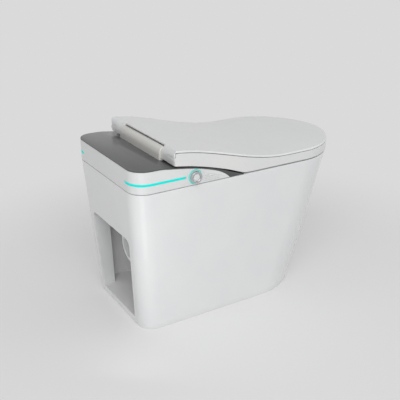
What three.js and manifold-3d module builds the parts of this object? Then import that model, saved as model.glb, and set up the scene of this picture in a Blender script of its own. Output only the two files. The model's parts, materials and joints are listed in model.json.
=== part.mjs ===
// One-piece elongated toilet with a built-in washing seat: a skirted ceramic body, a low housing behind the
// bowl, a seat and a thin lid on one hinge line, two wash wands and a warm-air outlet.
// Millimetres. +Z is up, the front is -Y, the user's right hand is -X. The origin is on the floor under the
// middle of the length. Depths are counted forward from the rear face of the ceramic deck.
import * as THREE from "three";
import { mergeVertices } from "three/addons/utils/BufferGeometryUtils.js";
import Module from "manifold-3d";

// Overall
const overallLength = 721;
const seatWidth = 379;
const deckHeight = 415;
const jointGap = 0.3; // left between pieces that touch
const overrun = 20; // how far a cutting tool runs past what it cuts
const weldDistance = 0.0001;

// Ceramic body
const seatSideOverhang = 0.5;
const ceramicWidth = seatWidth - 2 * seatSideOverhang;
const seatFrontOverhang = 2;
const ceramicLength = overallLength - seatFrontOverhang;
const ceramicFrontLength = 176; // from the front of the straight sides to the nose, at the deck
const ceramicRearRadius = 45;
const baseSideSetIn = 27.7;
const baseWidth = ceramicWidth - 2 * baseSideSetIn;
const baseSetBack = 27.4; // the rear face leans in by this much at the floor
const baseFrontSetBack = 119;
const baseLength = overallLength - baseSetBack - baseFrontSetBack;
const baseFrontLength = 168;
const baseRearRadius = 47;
const noseExponent = 1.87;
const ceramicEdgeRound = 3;
const skirtWall = 14;
const deckWall = 14;
const footWidth = 25;
const footRecess = 10;
const baseFloorHeight = 22;

// Bowl, as seen from above
const bowlRimRear = 238;
const bowlRimFrontMargin = 57; // the rim in front of the opening
const bowlRimHalfLength = (overallLength - bowlRimFrontMargin - bowlRimRear) / 2;
const bowlRimDepth = bowlRimRear + bowlRimHalfLength; // centre of the opening
const bowlRimHalfWidth = 118;
const bowlExponent = 2.2;
const bowlFloorHeight = 140;
const bowlWall = 11;
const bowlSumpDepth = 390;
const bowlHeightShares = [1, 0.89, 0.655, 0.436, 0.236, 0.09, 0];
const bowlCentreShares = [1, 1, 0.85, 0.57, 0.21, 0.04, 0];
const bowlSizeShares = [1, 0.985, 0.865, 0.65, 0.42, 0.29, 0.23];

// Trapway and outlet
const trapBore = 56;
const trapWall = 9;
const trapEntryHeight = 166;
const trapCrestDepth = 262;
const trapCrestHeight = 226;
const outletHeight = 188;
const outletDepth = 67;
const outletDiameter = 100;
const outletBore = 84;
const outletRun = 88;

// Opening in the rear face
const openingHalfWidthTop = 115;
const openingHalfWidthFoot = 97;
const openingTop = 267;
const openingCornerRadius = 18;
const openingFlare = 12;
const openingReturnDepth = 62;
const openingReturnWall = 10;

// Deck openings
const serviceHoleHalfWidth = 90;
const serviceHoleRear = 66;
const serviceHoleFront = 138;
const boltSpacing = 155;
const boltDepth = 172;
const boltHoleRadius = 6;

// Housing behind the bowl: heights of its side profile, depths as shares of its length
const housingHeight = 60.8;
const housingLength = 281;
const coverWall = 3;
const coverLedge = 14;
const coverDepthShares = [0, 0.253, 0.352, 0.456, 0.559, 0.665, 0.772, 0.861, 0.925, 0.972, 1];
const coverHeightShares = [1, 0.99, 0.938, 0.873, 0.801, 0.707, 0.576, 0.444, 0.301, 0.155, 0];
const panelLength = 334;
const panelRearHeight = 63.5;
const panelDepthShares = [0, 0.213, 0.296, 0.383, 0.47, 0.56, 0.65, 0.725, 0.793, 0.868, 0.943, 1];
const panelHeightShares = [1, 0.985, 0.94, 0.88, 0.811, 0.72, 0.612, 0.497, 0.37, 0.221, 0.086, 0];
const panelThickness = 2.6;
const panelWall = 3.5;
const panelFrontDepth = 268; // front face, at the middle
const panelFrontHalfWidth = 132;
const panelFrontExponent = 4;
const plateauRear = 9;
const plateauFront = 74;
const plateauSideMargin = 23;
const plateauWidth = ceramicWidth - 2 * plateauSideMargin;
const plateauNose = 22;
const plateauRadius = 24;
const plateauExponent = 4;
const plateauRise = 1.2;

// Chassis plate under the housing
const chassisThickness = 4;
const chassisInset = 4.5;
const chassisRear = 8;
const chassisFront = 236;
const chassisRimWidth = 3;
const chassisRimHeight = 5;

// Hinge line
const hingeDepth = 121;
const hingeHeight = 487;
const pinRadius = 4.5;
const pinClearance = 0.4;
const knuckleRadius = 8.3;
const knuckleGap = 0.8;
const lidKnuckleWidth = 31;
const lidWebReach = 5.5; // how far the lid's knuckle runs forward of the pin
const lidNotchDepth = 124.5;
const blockEndMargin = 71.5;
const blockHalfWidth = seatWidth / 2 - blockEndMargin;
const blockRadius = 20.2;
const blockRearDepth = 106.3;
const blockFrontDepth = 138;
const blockLegInset = 18;
const blockLegSpacing = 2 * (blockHalfWidth - blockLegInset);
const blockLegWidth = 18;
const blockLegRear = 112;
const blockLegFront = 134;
const sweepGap = 0.6;
const damperRadius = 8.6;
const damperLength = 52;
const blockEndWall = 6;
const pinEndCover = 3.5;
const pinEnd = seatWidth / 2 - pinEndCover;

// Seat
const seatFrontLength = 177.7;
const seatFrontExponent = 1.86;
const seatRearRadius = 6;
const seatRearDepth = 112.8;
const seatOpeningRear = 290;
const seatOpeningFrontMargin = 87;
const seatOpeningHalfLength = (overallLength - seatOpeningFrontMargin - seatOpeningRear) / 2;
const seatOpeningDepth = seatOpeningRear + seatOpeningHalfLength;
const seatOpeningHalfWidth = 112;
const seatOpeningFlare = 10;
const seatUndersideHeight = 419.2;
const seatUndersideRise = 59.4;
const seatUndersideEnd = 352;
const seatUndersideShares = [0, 0.21, 0.44, 0.68, 0.84, 0.915, 1];
const seatUndersideHeightShares = [0.975, 0.835, 0.618, 0.335, 0.098, 0.018, 0];
const seatRearFace = 146; // rear face behind the bowl, clear of the hinge block
const seatRelief = 5; // clearance in front of the lid's knuckles
const seatTuck = 4.2; // how far the seat steps in under the lid's rear edge
const seatTailRadius = 12.7; // the lid's edge passes outside this round, the seat's rear face stays in it

// Line between seat and lid, and the lid above it
const seamFrontHeight = 444.4;
const seamRise = 67.8;
const seamStart = 80.6;
const seamEnd = 475.2;
const seamGap = 1.5;
const lidEdgeHeight = 5.8;
const lidThickness = 4.2;
const lidRimWidth = 5;
const lidRollRadius = 36.5;
const lidRollHeight = 485;
const lidRollWall = 2.8;
const lidRollEndRadius = 18; // at the outer ends of the hinge line
const lidSkirtHeight = 499;

// Buffers
const seatBumperRadius = 9;
const bumperWidthShares = [0.31, 0.78];
const bumperDepthShares = [0.946, 0.584];
const lidBumperRadius = 6;
const lidBumperSpacing = 230;
const lidBumperSetBack = 109;
const lidBumperDepth = overallLength - lidBumperSetBack;

// Light strips
const stripHeight = 5.5;
const stripCentre = 441.2;
const stripThickness = 1.9;
const stripFrontDepth = 146;
const stripRearRun = 11;

// Knob on the right side
const knobDepth = 172.6;
const knobHeight = 439.1;
const knobRadius = 16.2;
const knobReach = 9.9;
const knobFaceRadius = 10;
const knobFaceRecess = 1;
const knobFaceThickness = 2;
const knobStemSocket = 4;
const knobKnurls = 32;
const knobKnurlDepth = 0.5;
const knobTravel = 2;
const knobRest = 0.6; // left behind the knob when it is pressed home
const stemRadius = 4;
const stemLength = 15;
const lightRingOuterRadius = 19.6;
const lightRingInnerRadius = 17.6;
const lightRingDepth = 1.9;
const lightRingProud = 0.4;
const encoderSize = 16;
const encoderDepth = 10;

// Speaker grille on the right side
const grilleRear = 200;
const grilleFront = 252;
const grilleFoot = 419.5;
const grilleRearHeight = 25;
const grilleFrontHeight = 8.5;
const grilleThickness = 1.6;
const grillePitch = 4.6;
const grilleHoleRadius = 1.05;
const grilleMargin = 1.9;
const grilleLand = 1.2; // what the plate rests on, all round
const speakerLength = 40;
const speakerDepth = 14;
const speakerHeight = 13;
const magnetRadius = 5.5;
const magnetLength = 5;

// Wash wands
const wandTilt = 22;
const wandTipDepth = 264;
const wandTipHeight = 415.8;
const wandRadius = 5.5;
const wandLength = 98;
const wandTipLength = 16;
const wandSpacing = 16;
const wandClearance = 0.5;
const cradleWall = 2.4;
const cradleLength = 78;
const cradleSetBack = 3;
const wandMotorRadius = 9;
const wandMotorLength = 14;
const wandMotorPlace = 62; // back from the tips
const wandPortHalfWidth = 26;
const wandPortHeight = 428;

// Warm-air outlet
const ductCentre = 60;
const ductWidth = 40;
const ductHeight = 12.8;
const ductRear = 244;
const ductWall = 1.6;
const flapThickness = 1.8;
const flapSetBack = 3;
const flapPinRadius = 1.4;
const flapGap = 0.4;
const fanCentre = 62;
const fanDepth = 216;
const fanRadius = 27;
const fanHeight = 17;
const fanWall = 1.8;
const fanInletRadius = 15;
const impellerRadius = 21;
const impellerBlades = 14;
const impellerBladeThickness = 1;
const impellerBladeStart = 11;
const impellerDisc = 1.2;
const impellerHeight = 5.6;
const impellerHubRadius = 5;
const fanMotorRadius = 8;
const fanMotorHeight = 6;
const fanShaftRadius = 2;
const fanShaftLength = 5;

// Pieces that stand on the chassis plate: width across, length in depth, height
const traySize = [84, 62, 26];
const traySideRoom = 35;
const trayPlace = [traySize[0] / 2 + traySideRoom - ceramicWidth / 2, 46];
const trayWall = 1.8;
const boardThickness = 1.6;
const boardStand = 5;
const boardStandRadius = 3;
const boardMargin = 1;
const supplySize = [74, 56, 30];
const supplySideRoom = 40;
const supplyPlace = [ceramicWidth / 2 - supplySideRoom - supplySize[0] / 2, 46];
const heaterRadius = 17;
const heaterEndRoom = 135;
const heaterLength = ceramicWidth - 2 * heaterEndRoom;
const heaterDepth = 36;
const heaterNeckRadius = 5;
const heaterNeckLength = 8;
const heaterSaddleWidth = 8;
const heaterSaddleInset = 21;
const heaterSaddleSpacing = heaterLength - 2 * heaterSaddleInset;
const valveSize = [34, 30, 22];
const valveSideRoom = 44;
const valvePlace = [valveSize[0] / 2 + valveSideRoom - ceramicWidth / 2, 112];
const valveCoilRadius = 9;
const valveCoilHeight = 14;
const valvePortRadius = 7;
const valvePortLength = 14;
const pumpSize = [42, 34, 24];
const pumpSideRoom = 36;
const pumpPlace = [ceramicWidth / 2 - pumpSideRoom - pumpSize[0] / 2, 112];
const pumpHeadRadius = 8;
const pumpHeadLength = 10;
const deodoriserSize = [36, 30, 20];
const deodoriserPlace = [-60, 204];

// Flush pump under the deck
const flushPumpRadius = 32;
const flushPumpHeight = 92;
const flushPumpClearance = 1;
const flushCapRadius = 24;
const flushCapHeight = 12;
const flushPumpDepth = 102;
const flushFlangeRadius = 42;
const flushFlangeThickness = 5;
const flushPipeRadius = 13;
const flushPipeWall = 2.5;
const flushPipeDrop = 67; // below the deck
const flushPipeHeight = deckHeight - flushPipeDrop;

// Fixing bolts
const boltRadius = 4;
const boltHeadRadius = 8;
const boltHeadHeight = 5;
const boltHeadSides = 6;
const boltLength = 46;
const boltClearance = 0.5;
const nutRadius = 11;
const nutHeight = 10;
const nutWingSpan = 34;
const nutWingThickness = 3;

// Facets
const noseSteps = 15;
const cornerSteps = 6;
const bowlSteps = 40;
const roundSteps = 20;
const smallSteps = 12;
const holeSides = 6;
const holeTwistShare = 0.3; // keeps the corners of neighbouring holes off one line
const profileSteps = 26;
const seamSteps = 18;
const rollSteps = 36;
const tailSteps = 9;
const rollTailTurn = 60; // the rear edge's lower round, in degrees below its middle
const rollTailEnd = 2;
const quarterTurn = 90;

const wasm = await Module();
wasm.setup();

const halfLength = overallLength / 2;
const yAt = (depth) => halfLength - depth;
const radians = THREE.MathUtils.degToRad;
const mix = THREE.MathUtils.lerp;
const X_AXIS = new THREE.Vector3(1, 0, 0);
const Y_AXIS = new THREE.Vector3(0, 1, 0);
const Z_AXIS = new THREE.Vector3(0, 0, 1);

// A closed geometry as a solid that can be joined and cut.
function solid(geometry) {
  const bare = geometry.clone();
  bare.deleteAttribute("normal");
  bare.deleteAttribute("uv");
  const merged = mergeVertices(bare, weldDistance);
  return new wasm.Manifold(
    new wasm.Mesh({
      numProp: 3,
      vertProperties: merged.attributes.position.array,
      triVerts: new Uint32Array(merged.index.array),
    }),
  );
}

// A solid back as a geometry with flat shading.
function geometryOf(body) {
  const mesh = body.getMesh();
  const indexed = new THREE.BufferGeometry();
  indexed.setAttribute("position", new THREE.BufferAttribute(mesh.vertProperties, mesh.numProp));
  indexed.setIndex(new THREE.BufferAttribute(mesh.triVerts, 1));
  const flat = indexed.toNonIndexed();
  flat.computeVertexNormals();
  return flat;
}

const join = (first, ...others) => others.reduce((sum, next) => sum.add(next), first);
const cut = (first, ...tools) => tools.reduce((rest, tool) => rest.subtract(tool), first);
const both = (sides, make) => sides.map((side) => make(side));

// A closed skin over rings that each go round the same way, with flat convex ends.
function loft(rings) {
  const count = rings[0].length;
  const positions = rings.flat().flatMap((p) => [p.x, p.y, p.z]);
  const faces = [];
  for (let r = 0; r + 1 < rings.length; r += 1) {
    for (let i = 0; i < count; i += 1) {
      const a = r * count + i;
      const b = r * count + ((i + 1) % count);
      faces.push(a, b, b + count, a, b + count, a + count);
    }
  }
  const last = (rings.length - 1) * count;
  for (let i = 1; i + 1 < count; i += 1) {
    faces.push(0, i + 1, i, last, last + i, last + i + 1);
  }
  const geometry = new THREE.BufferGeometry();
  geometry.setAttribute("position", new THREE.Float32BufferAttribute(positions, 3));
  geometry.setIndex(faces);
  return solid(geometry);
}

// Outline seen from above: straight sides, round rear corners and a superellipse nose.
function planRing(form, inset, height) {
  const half = form.width / 2 - inset;
  const rear = form.rear + inset;
  const radius = Math.max(form.radius - inset, weldDistance);
  const nose = form.front - form.noseLength;
  const reach = form.noseLength - inset;
  const power = 2 / form.exponent;
  const right = [];
  for (let i = 0; i <= noseSteps; i += 1) {
    const turn = (Math.PI / 2) * (1 - i / noseSteps);
    right.push([half * Math.cos(turn) ** power, nose + reach * Math.sin(turn) ** power]);
  }
  right[0][0] = 0;
  for (let i = 0; i <= cornerSteps; i += 1) {
    const turn = (Math.PI / 2) * (i / cornerSteps);
    right.push([half - radius * (1 - Math.cos(turn)), rear + radius * (1 - Math.sin(turn))]);
  }
  const left = right.slice(1).reverse().map(([x, depth]) => [-x, depth]);
  return [...right, ...left].map(([x, depth]) => new THREE.Vector3(x, yAt(depth), height));
}

const prism = (form, inset, low, high) => loft([planRing(form, inset, low), planRing(form, inset, high)]);

// Superellipse seen from above.
function ovalRing(depth, halfLong, halfWide, exponent, height, steps = bowlSteps) {
  const ring = [];
  for (let i = 0; i < steps; i += 1) {
    const turn = (2 * Math.PI * i) / steps;
    const c = Math.cos(turn);
    const s = Math.sin(turn);
    const x = halfWide * Math.sign(c) * Math.abs(c) ** (2 / exponent);
    const y = halfLong * Math.sign(s) * Math.abs(s) ** (2 / exponent);
    ring.push(new THREE.Vector3(x, yAt(depth) + y, height));
  }
  return ring;
}

// A side profile of [depth, height] points, drawn out across the width.
function across(points, from, to) {
  const shape = new THREE.Shape(points.map(([depth, height]) => new THREE.Vector2(yAt(depth), height)));
  const geometry = new THREE.ExtrudeGeometry(shape, { depth: to - from, bevelEnabled: false });
  geometry.applyMatrix4(new THREE.Matrix4().makeBasis(Y_AXIS, Z_AXIS, X_AXIS));
  geometry.translate(from, 0, 0);
  return solid(geometry);
}

// A shape seen from the right side, holes and all, as a sheet between two x places.
function sideSheet(outline, holes, from, to) {
  const flat = (points) => points.map(([depth, height]) => new THREE.Vector2(yAt(depth), height));
  const shape = new THREE.Shape(flat(outline));
  shape.holes = holes.map((hole) => new THREE.Path(flat(hole)));
  const geometry = new THREE.ExtrudeGeometry(shape, { depth: to - from, bevelEnabled: false });
  geometry.applyMatrix4(new THREE.Matrix4().makeBasis(Y_AXIS, Z_AXIS, X_AXIS));
  geometry.translate(from, 0, 0);
  return solid(geometry);
}

// A block between two x places, two depths and two heights.
function block(x0, x1, depth0, depth1, low, high) {
  const geometry = new THREE.BoxGeometry(x1 - x0, depth1 - depth0, high - low);
  geometry.translate((x0 + x1) / 2, (yAt(depth0) + yAt(depth1)) / 2, (low + high) / 2);
  return solid(geometry);
}

// A round bar across the width, from one x place to another.
function crossBar(radius, from, to, depth, height, steps = roundSteps) {
  const geometry = new THREE.CylinderGeometry(radius, radius, to - from, steps);
  geometry.rotateZ(-Math.PI / 2);
  geometry.translate((from + to) / 2, yAt(depth), height);
  return solid(geometry);
}

// An upright round bar.
function post(radius, x, depth, low, high, steps = roundSteps) {
  const geometry = new THREE.CylinderGeometry(radius, radius, high - low, steps);
  geometry.rotateX(Math.PI / 2);
  geometry.translate(x, yAt(depth), (low + high) / 2);
  return solid(geometry);
}

// A round bar that runs from back to front.
function longBar(radius, x, depth0, depth1, height, steps = roundSteps) {
  const geometry = new THREE.CylinderGeometry(radius, radius, depth1 - depth0, steps);
  geometry.translate(x, (yAt(depth0) + yAt(depth1)) / 2, height);
  return solid(geometry);
}

// A pipe in the middle plane through [depth, height, radius] stations.
function pipe(stations, steps = roundSteps) {
  const places = stations.map(([depth, height]) => new THREE.Vector3(0, yAt(depth), height));
  const rings = places.map((place, i) => {
    const before = places[Math.max(i - 1, 0)];
    const after = places[Math.min(i + 1, places.length - 1)];
    const ahead = after.clone().sub(before).normalize();
    const up = ahead.clone().cross(X_AXIS);
    const ring = [];
    for (let k = 0; k < steps; k += 1) {
      const turn = (2 * Math.PI * k) / steps;
      const side = X_AXIS.clone().multiplyScalar(Math.cos(turn) * stations[i][2]);
      ring.push(place.clone().add(side).addScaledVector(up, Math.sin(turn) * stations[i][2]));
    }
    return ring;
  });
  return loft(rings);
}

// Points on a smooth curve through a few [depth, height] points.
function smooth(points, steps) {
  const curve = new THREE.SplineCurve(points.map(([depth, height]) => new THREE.Vector2(depth, height)));
  return curve.getPoints(steps).map((p) => [p.x, p.y]);
}

// Points on an arc about a [depth, height] centre. Turns count from straight back, upwards positive.
function arc(centre, radius, from, to, steps) {
  const points = [];
  for (let i = 0; i <= steps; i += 1) {
    const turn = radians(mix(from, to, i / steps));
    points.push([centre[0] - radius * Math.cos(turn), centre[1] + radius * Math.sin(turn)]);
  }
  return points;
}

// Finishes
const finish = (color, roughness, metalness = 0) =>
  new THREE.MeshStandardMaterial({ color, roughness, metalness });
const glaze = finish(0xf4f5f5, 0.08);
const whiteShell = finish(0xf2f3f3, 0.25);
const seatPlastic = finish(0xefefee, 0.3);
const darkPanel = finish(0x5b5c5d, 0.35);
const hingeGrey = finish(0xd5d4cf, 0.35);
const chassisGrey = finish(0x9a9c9e, 0.6);
const lightGuide = finish(0x0fe6dc, 0.3);
const chromed = finish(0xc9cbcd, 0.12, 1);
const steel = finish(0xb0b2b4, 0.35, 1);
const brassMetal = finish(0xc2a25c, 0.35, 1);
const rubber = finish(0x8d8f90, 0.8);
const circuitGreen = finish(0x1f6b3d, 0.6);
const blackPlastic = finish(0x2b2c2e, 0.55);
const whitePlastic = finish(0xe4e5e5, 0.45);

const toilet = new THREE.Group();

function add(group, name, body, material) {
  const mesh = new THREE.Mesh(geometryOf(body), material);
  mesh.name = name;
  group.add(mesh);
  return mesh;
}

// Plan forms
const deckForm = {
  width: ceramicWidth,
  rear: 0,
  front: ceramicLength,
  noseLength: ceramicFrontLength,
  radius: ceramicRearRadius,
  exponent: noseExponent,
};
const footForm = {
  width: baseWidth,
  rear: baseSetBack,
  front: baseSetBack + baseLength,
  noseLength: baseFrontLength,
  radius: baseRearRadius,
  exponent: noseExponent,
};
const seatForm = {
  width: seatWidth,
  rear: seatRearDepth,
  front: overallLength,
  noseLength: seatFrontLength,
  radius: seatRearRadius,
  exponent: seatFrontExponent,
};

// The ceramic's outline at any height, drawn in by an inset.
function skirtRing(height, inset) {
  const share = height / deckHeight;
  const form = {};
  for (const key of Object.keys(deckForm)) form[key] = mix(footForm[key], deckForm[key], share);
  return planRing(form, inset, height);
}

const bowlDrop = deckHeight - bowlFloorHeight;

// Rings down the bowl, drawn out by a wall.
function bowlRings(wall, rise) {
  const rings = bowlHeightShares.map((share, i) => {
    const size = bowlSizeShares[i];
    return ovalRing(
      mix(bowlSumpDepth, bowlRimDepth, bowlCentreShares[i]),
      bowlRimHalfLength * size + wall,
      bowlRimHalfWidth * size + wall,
      bowlExponent,
      bowlFloorHeight + bowlDrop * share - wall,
    );
  });
  const [top] = rings;
  rings.unshift(top.map((p) => new THREE.Vector3(p.x, p.y, deckHeight + rise)));
  return rings.reverse();
}

// Stations along the trapway: up from the sump, over the crest, and down into the level outlet.
function trapStations(extra) {
  const half = trapBore / 2 + extra;
  const entry = [bowlSumpDepth, trapEntryHeight];
  const crest = [trapCrestDepth, trapCrestHeight];
  const run = [outletDepth + outletRun - overrun, outletHeight];
  const between = (a, b, share, lift) => [mix(a[0], b[0], share), mix(a[1], b[1], share) + lift];
  const route = [
    entry,
    between(entry, crest, 1 / 3, -trapWall),
    between(entry, crest, 2 / 3, -trapWall / 2),
    crest,
    between(crest, run, 1 / 3, trapWall / 2),
    between(crest, run, 2 / 3, -trapWall / 2),
    run,
  ];
  return smooth(route, profileSteps / 2).map(([depth, height]) => [depth, height, half]);
}

// The opening in the rear face, seen from behind, as a flared plug between two depths.
function openingPlug(wall, rearDepth, frontDepth, flare) {
  const ring = (depth, spread) => {
    const foot = openingHalfWidthFoot + spread + wall;
    const top = openingHalfWidthTop + spread + wall;
    const radius = openingCornerRadius + wall;
    const low = baseFloorHeight - (wall > 0 ? footRecess / 2 : 0);
    const high = openingTop + wall;
    const right = [[foot, low]];
    for (let i = 0; i <= cornerSteps; i += 1) {
      const turn = (Math.PI / 2) * (i / cornerSteps);
      right.push([top - radius * (1 - Math.cos(turn)), high - radius * (1 - Math.sin(turn))]);
    }
    const left = [...right].reverse().map(([x, z]) => [-x, z]);
    return [...right, ...left].map(([x, z]) => new THREE.Vector3(x, yAt(depth), z));
  };
  return loft([ring(rearDepth, 0), ring(frontDepth, flare)]);
}

function ceramicBody() {
  const outside = loft([
    skirtRing(0, 0),
    skirtRing(deckHeight - ceramicEdgeRound, 0),
    skirtRing(deckHeight - ceramicEdgeRound / 3, ceramicEdgeRound / 3),
    skirtRing(deckHeight, ceramicEdgeRound),
  ]);
  const hollow = loft([skirtRing(baseFloorHeight, skirtWall), skirtRing(deckHeight - deckWall, skirtWall)]);
  const underside = loft([skirtRing(-overrun, footWidth), skirtRing(footRecess, footWidth)]);
  const bowlShell = loft(bowlRings(bowlWall, -deckWall / 2));
  const trapTube = pipe(trapStations(trapWall));
  const spigotEnd = outletDepth + outletRun;
  const spigot = longBar(outletDiameter / 2, 0, outletDepth, spigotEnd, outletHeight);
  const openingFrame = openingPlug(openingReturnWall, skirtWall, openingReturnDepth, openingFlare);
  const openingTool = openingPlug(0, -overrun, openingReturnDepth + overrun, openingFlare);
  const skirt = cut(join(cut(outside, hollow), openingFrame.intersect(outside)), openingTool);
  const shell = join(skirt, bowlShell, trapTube, spigot);
  const deckFloor = deckHeight - deckWall - overrun;
  const boltHoles = both([-1, 1], (side) =>
    post(boltHoleRadius, (side * boltSpacing) / 2, boltDepth, deckFloor, deckHeight + overrun),
  );
  const trapBoreTool = pipe(trapStations(0));
  const outletTool = longBar(outletBore / 2, 0, outletDepth - overrun, spigotEnd - trapWall, outletHeight);
  return cut(
    shell,
    underside,
    loft(bowlRings(0, overrun)),
    trapBoreTool,
    outletTool,
    longBar(flushPipeRadius + jointGap, 0, serviceHoleFront, bowlRimDepth, flushPipeHeight),
    block(
      -serviceHoleHalfWidth,
      serviceHoleHalfWidth,
      serviceHoleRear,
      serviceHoleFront,
      deckFloor,
      deckHeight + overrun,
    ),
    ...boltHoles,
  );
}

// Height of a [depth, height] line at one depth.
function heightOn(line, depth) {
  const next = Math.max(line.findIndex((point) => point[0] >= depth), 1);
  const [before, after] = [line[next - 1], line[next]];
  return mix(before[1], after[1], (depth - before[0]) / (after[0] - before[0]));
}

// The stretch of a line between two depths, raised by a lift.
function stretch(line, from, to, lift) {
  const inner = line.filter(([depth]) => depth > from && depth < to);
  const ends = [from, to].map((depth) => [depth, heightOn(line, depth)]);
  return [ends[0], ...inner, ends[1]].map(([depth, height]) => [depth, height + lift]);
}

// Everything under a line, across the full width and down to a level.
function under(line, lift, low) {
  const half = seatWidth / 2 + overrun;
  const top = line.map(([depth, height]) => [depth, height + lift]).reverse();
  const end = line[line.length - 1][0];
  return across([[-overrun, low], [end, low], ...top, [-overrun, top[top.length - 1][1]]], -half, half);
}

const sides = [-1, 1];
const foot = deckHeight + jointGap;
const halfDeck = ceramicWidth / 2;
const chassisTop = foot + chassisThickness;
const standHeight = chassisTop + jointGap;
const housingTop = deckHeight + panelRearHeight + overrun;

// The housing's side profiles
const housingLine = (length, height, depthShares, heightShares) =>
  smooth(
    depthShares.map((share, i) => [length * share, deckHeight + height * heightShares[i]]),
    profileSteps,
  );
const coverLine = housingLine(housingLength, housingHeight, coverDepthShares, coverHeightShares);
const panelLine = housingLine(panelLength, panelRearHeight, panelDepthShares, panelHeightShares);
const underLow = deckHeight - overrun;

// The light strip on one side: a band round the rear corner, or with a margin the groove for it.
function stripBand(side, thickness, margin, outset) {
  const low = stripCentre - stripHeight / 2 - margin;
  const high = stripCentre + stripHeight / 2 + margin;
  const corner = halfDeck - ceramicRearRadius - stripRearRun - margin;
  const reach = halfDeck + overrun;
  const [from, to] = side > 0 ? [corner, reach] : [-reach, -corner];
  const region = block(from, to, -overrun, stripFrontDepth + margin, low, high);
  const core = prism(deckForm, thickness, low - overrun, high + overrun);
  return cut(prism(deckForm, -outset, low, high).intersect(region), core);
}

// The grille's outline, drawn in by an inset.
const grilleOutline = (inset) => [
  [grilleRear + inset, grilleFoot + inset],
  [grilleFront - inset, grilleFoot + inset],
  [grilleFront - inset, grilleFoot + grilleFrontHeight - inset],
  [grilleRear + inset, grilleFoot + grilleRearHeight - inset],
];

const knobBar = (radius, from, to, steps) => crossBar(radius, from, to, knobDepth, knobHeight, steps);

function rearCover() {
  const outside = under(coverLine, 0, underLow).intersect(prism(deckForm, 0, foot, housingTop));
  const room = prism(deckForm, coverWall, underLow, housingTop);
  const inside = under(coverLine, -coverWall, underLow).intersect(room);
  const ringRecess = cut(
    knobBar(lightRingOuterRadius + jointGap, -halfDeck - overrun, -halfDeck + lightRingDepth + jointGap),
    knobBar(lightRingInnerRadius - jointGap, -halfDeck - overrun, halfDeck),
  );
  return cut(
    outside,
    inside,
    prism(deckForm, coverLedge, underLow, housingTop),
    ...both(sides, (side) => stripBand(side, stripThickness + jointGap, jointGap, overrun)),
    ringRecess,
    knobBar(stemRadius + pinClearance, -halfDeck - overrun, -halfDeck + coverWall + overrun),
    sideSheet(grilleOutline(-jointGap), [], -halfDeck - overrun, -halfDeck + grilleThickness + jointGap),
    sideSheet(grilleOutline(grilleLand), [], -halfDeck - overrun, -halfDeck + coverWall + overrun),
  );
}

// The panel's front face, round the bowl.
function panelFront(margin) {
  const ring = (height) =>
    ovalRing(
      bowlRimDepth,
      bowlRimDepth - panelFrontDepth + margin,
      panelFrontHalfWidth + margin,
      panelFrontExponent,
      height,
    );
  return loft([ring(underLow), ring(housingTop)]);
}

const blockLeg = (side, margin, low, high) => {
  const place = (side * blockLegSpacing) / 2;
  const half = blockLegWidth / 2 + margin;
  return block(place - half, place + half, blockLegRear - margin, blockLegFront + margin, low, high);
};

const ductPlace = [ductCentre - ductWidth / 2, ductCentre + ductWidth / 2];
const ductTop = standHeight + ductHeight;

function topPanel() {
  const outside = under(panelLine, 0, underLow).intersect(prism(deckForm, 0, foot, housingTop));
  const room = prism(deckForm, panelWall, underLow, housingTop);
  const inside = under(panelLine, -panelWall, underLow).intersect(room);
  const plateauForm = {
    width: plateauWidth,
    rear: plateauRear,
    front: plateauFront,
    noseLength: plateauNose,
    radius: plateauRadius,
    exponent: plateauExponent,
  };
  const rearTop = deckHeight + panelRearHeight;
  const plateau = prism(plateauForm, 0, rearTop - panelThickness / 2, rearTop + plateauRise);
  return cut(
    join(outside, plateau),
    under(coverLine, jointGap, underLow),
    cut(inside, panelFront(panelWall)),
    panelFront(0),
    block(-wandPortHalfWidth, wandPortHalfWidth, coverWall, bowlRimDepth, underLow, wandPortHeight),
    block(
      ductPlace[0] - jointGap,
      ductPlace[1] + jointGap,
      ductRear,
      bowlRimDepth,
      foot - overrun,
      ductTop + jointGap,
    ),
    ...both(sides, (side) => blockLeg(side, jointGap, underLow, housingTop)),
  );
}

function chassisPlate() {
  const half = halfDeck - chassisInset;
  const outside = prism(deckForm, chassisInset, foot, chassisTop);
  const rim = cut(
    prism(deckForm, chassisInset, foot, chassisTop + chassisRimHeight),
    prism(deckForm, chassisInset + chassisRimWidth, foot - overrun, housingTop),
    block(-halfDeck, 0, knobDepth - knobRadius, chassisFront, chassisTop, housingTop),
  );
  const region = block(
    -half - overrun,
    half + overrun,
    chassisRear,
    chassisFront,
    foot - overrun,
    housingTop,
  );
  return cut(
    join(outside, rim).intersect(region),
    post(flushPumpRadius + flushPumpClearance, 0, flushPumpDepth, foot - overrun, housingTop),
    ...both(sides, (side) =>
      post(boltRadius + boltClearance, (side * boltSpacing) / 2, boltDepth, foot - overrun, housingTop),
    ),
  );
}

// The block that carries the hinge pins, with a leg at each end down to the chassis.
function hingeBlock() {
  const centre = [hingeDepth, hingeHeight];
  const turnAt = (depth) => THREE.MathUtils.radToDeg(Math.acos((hingeDepth - depth) / blockRadius));
  const outline = [
    ...stretch(panelLine, blockRearDepth, blockFrontDepth, jointGap).reverse(),
    ...arc(centre, blockRadius, turnAt(blockRearDepth), turnAt(blockFrontDepth), profileSteps / 2),
  ];
  const bar = across(outline, -blockHalfWidth, blockHalfWidth);
  const legTop = heightOn(panelLine, blockLegFront) + pinRadius;
  const bores = both(sides, (side) => {
    const end = side * (blockHalfWidth - blockEndWall);
    const inner = side * (blockHalfWidth - blockEndWall - damperLength - 2 * jointGap);
    const outer = side * (blockHalfWidth + overrun);
    const low = Math.min(inner, end);
    const high = Math.max(inner, end);
    return join(
      crossBar(damperRadius + jointGap, low, high, ...centre),
      crossBar(pinRadius + pinClearance, Math.min(inner, outer), Math.max(inner, outer), ...centre),
    );
  });
  return cut(join(bar, ...both(sides, (side) => blockLeg(side, 0, standHeight, legTop))), ...bores);
}

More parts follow.
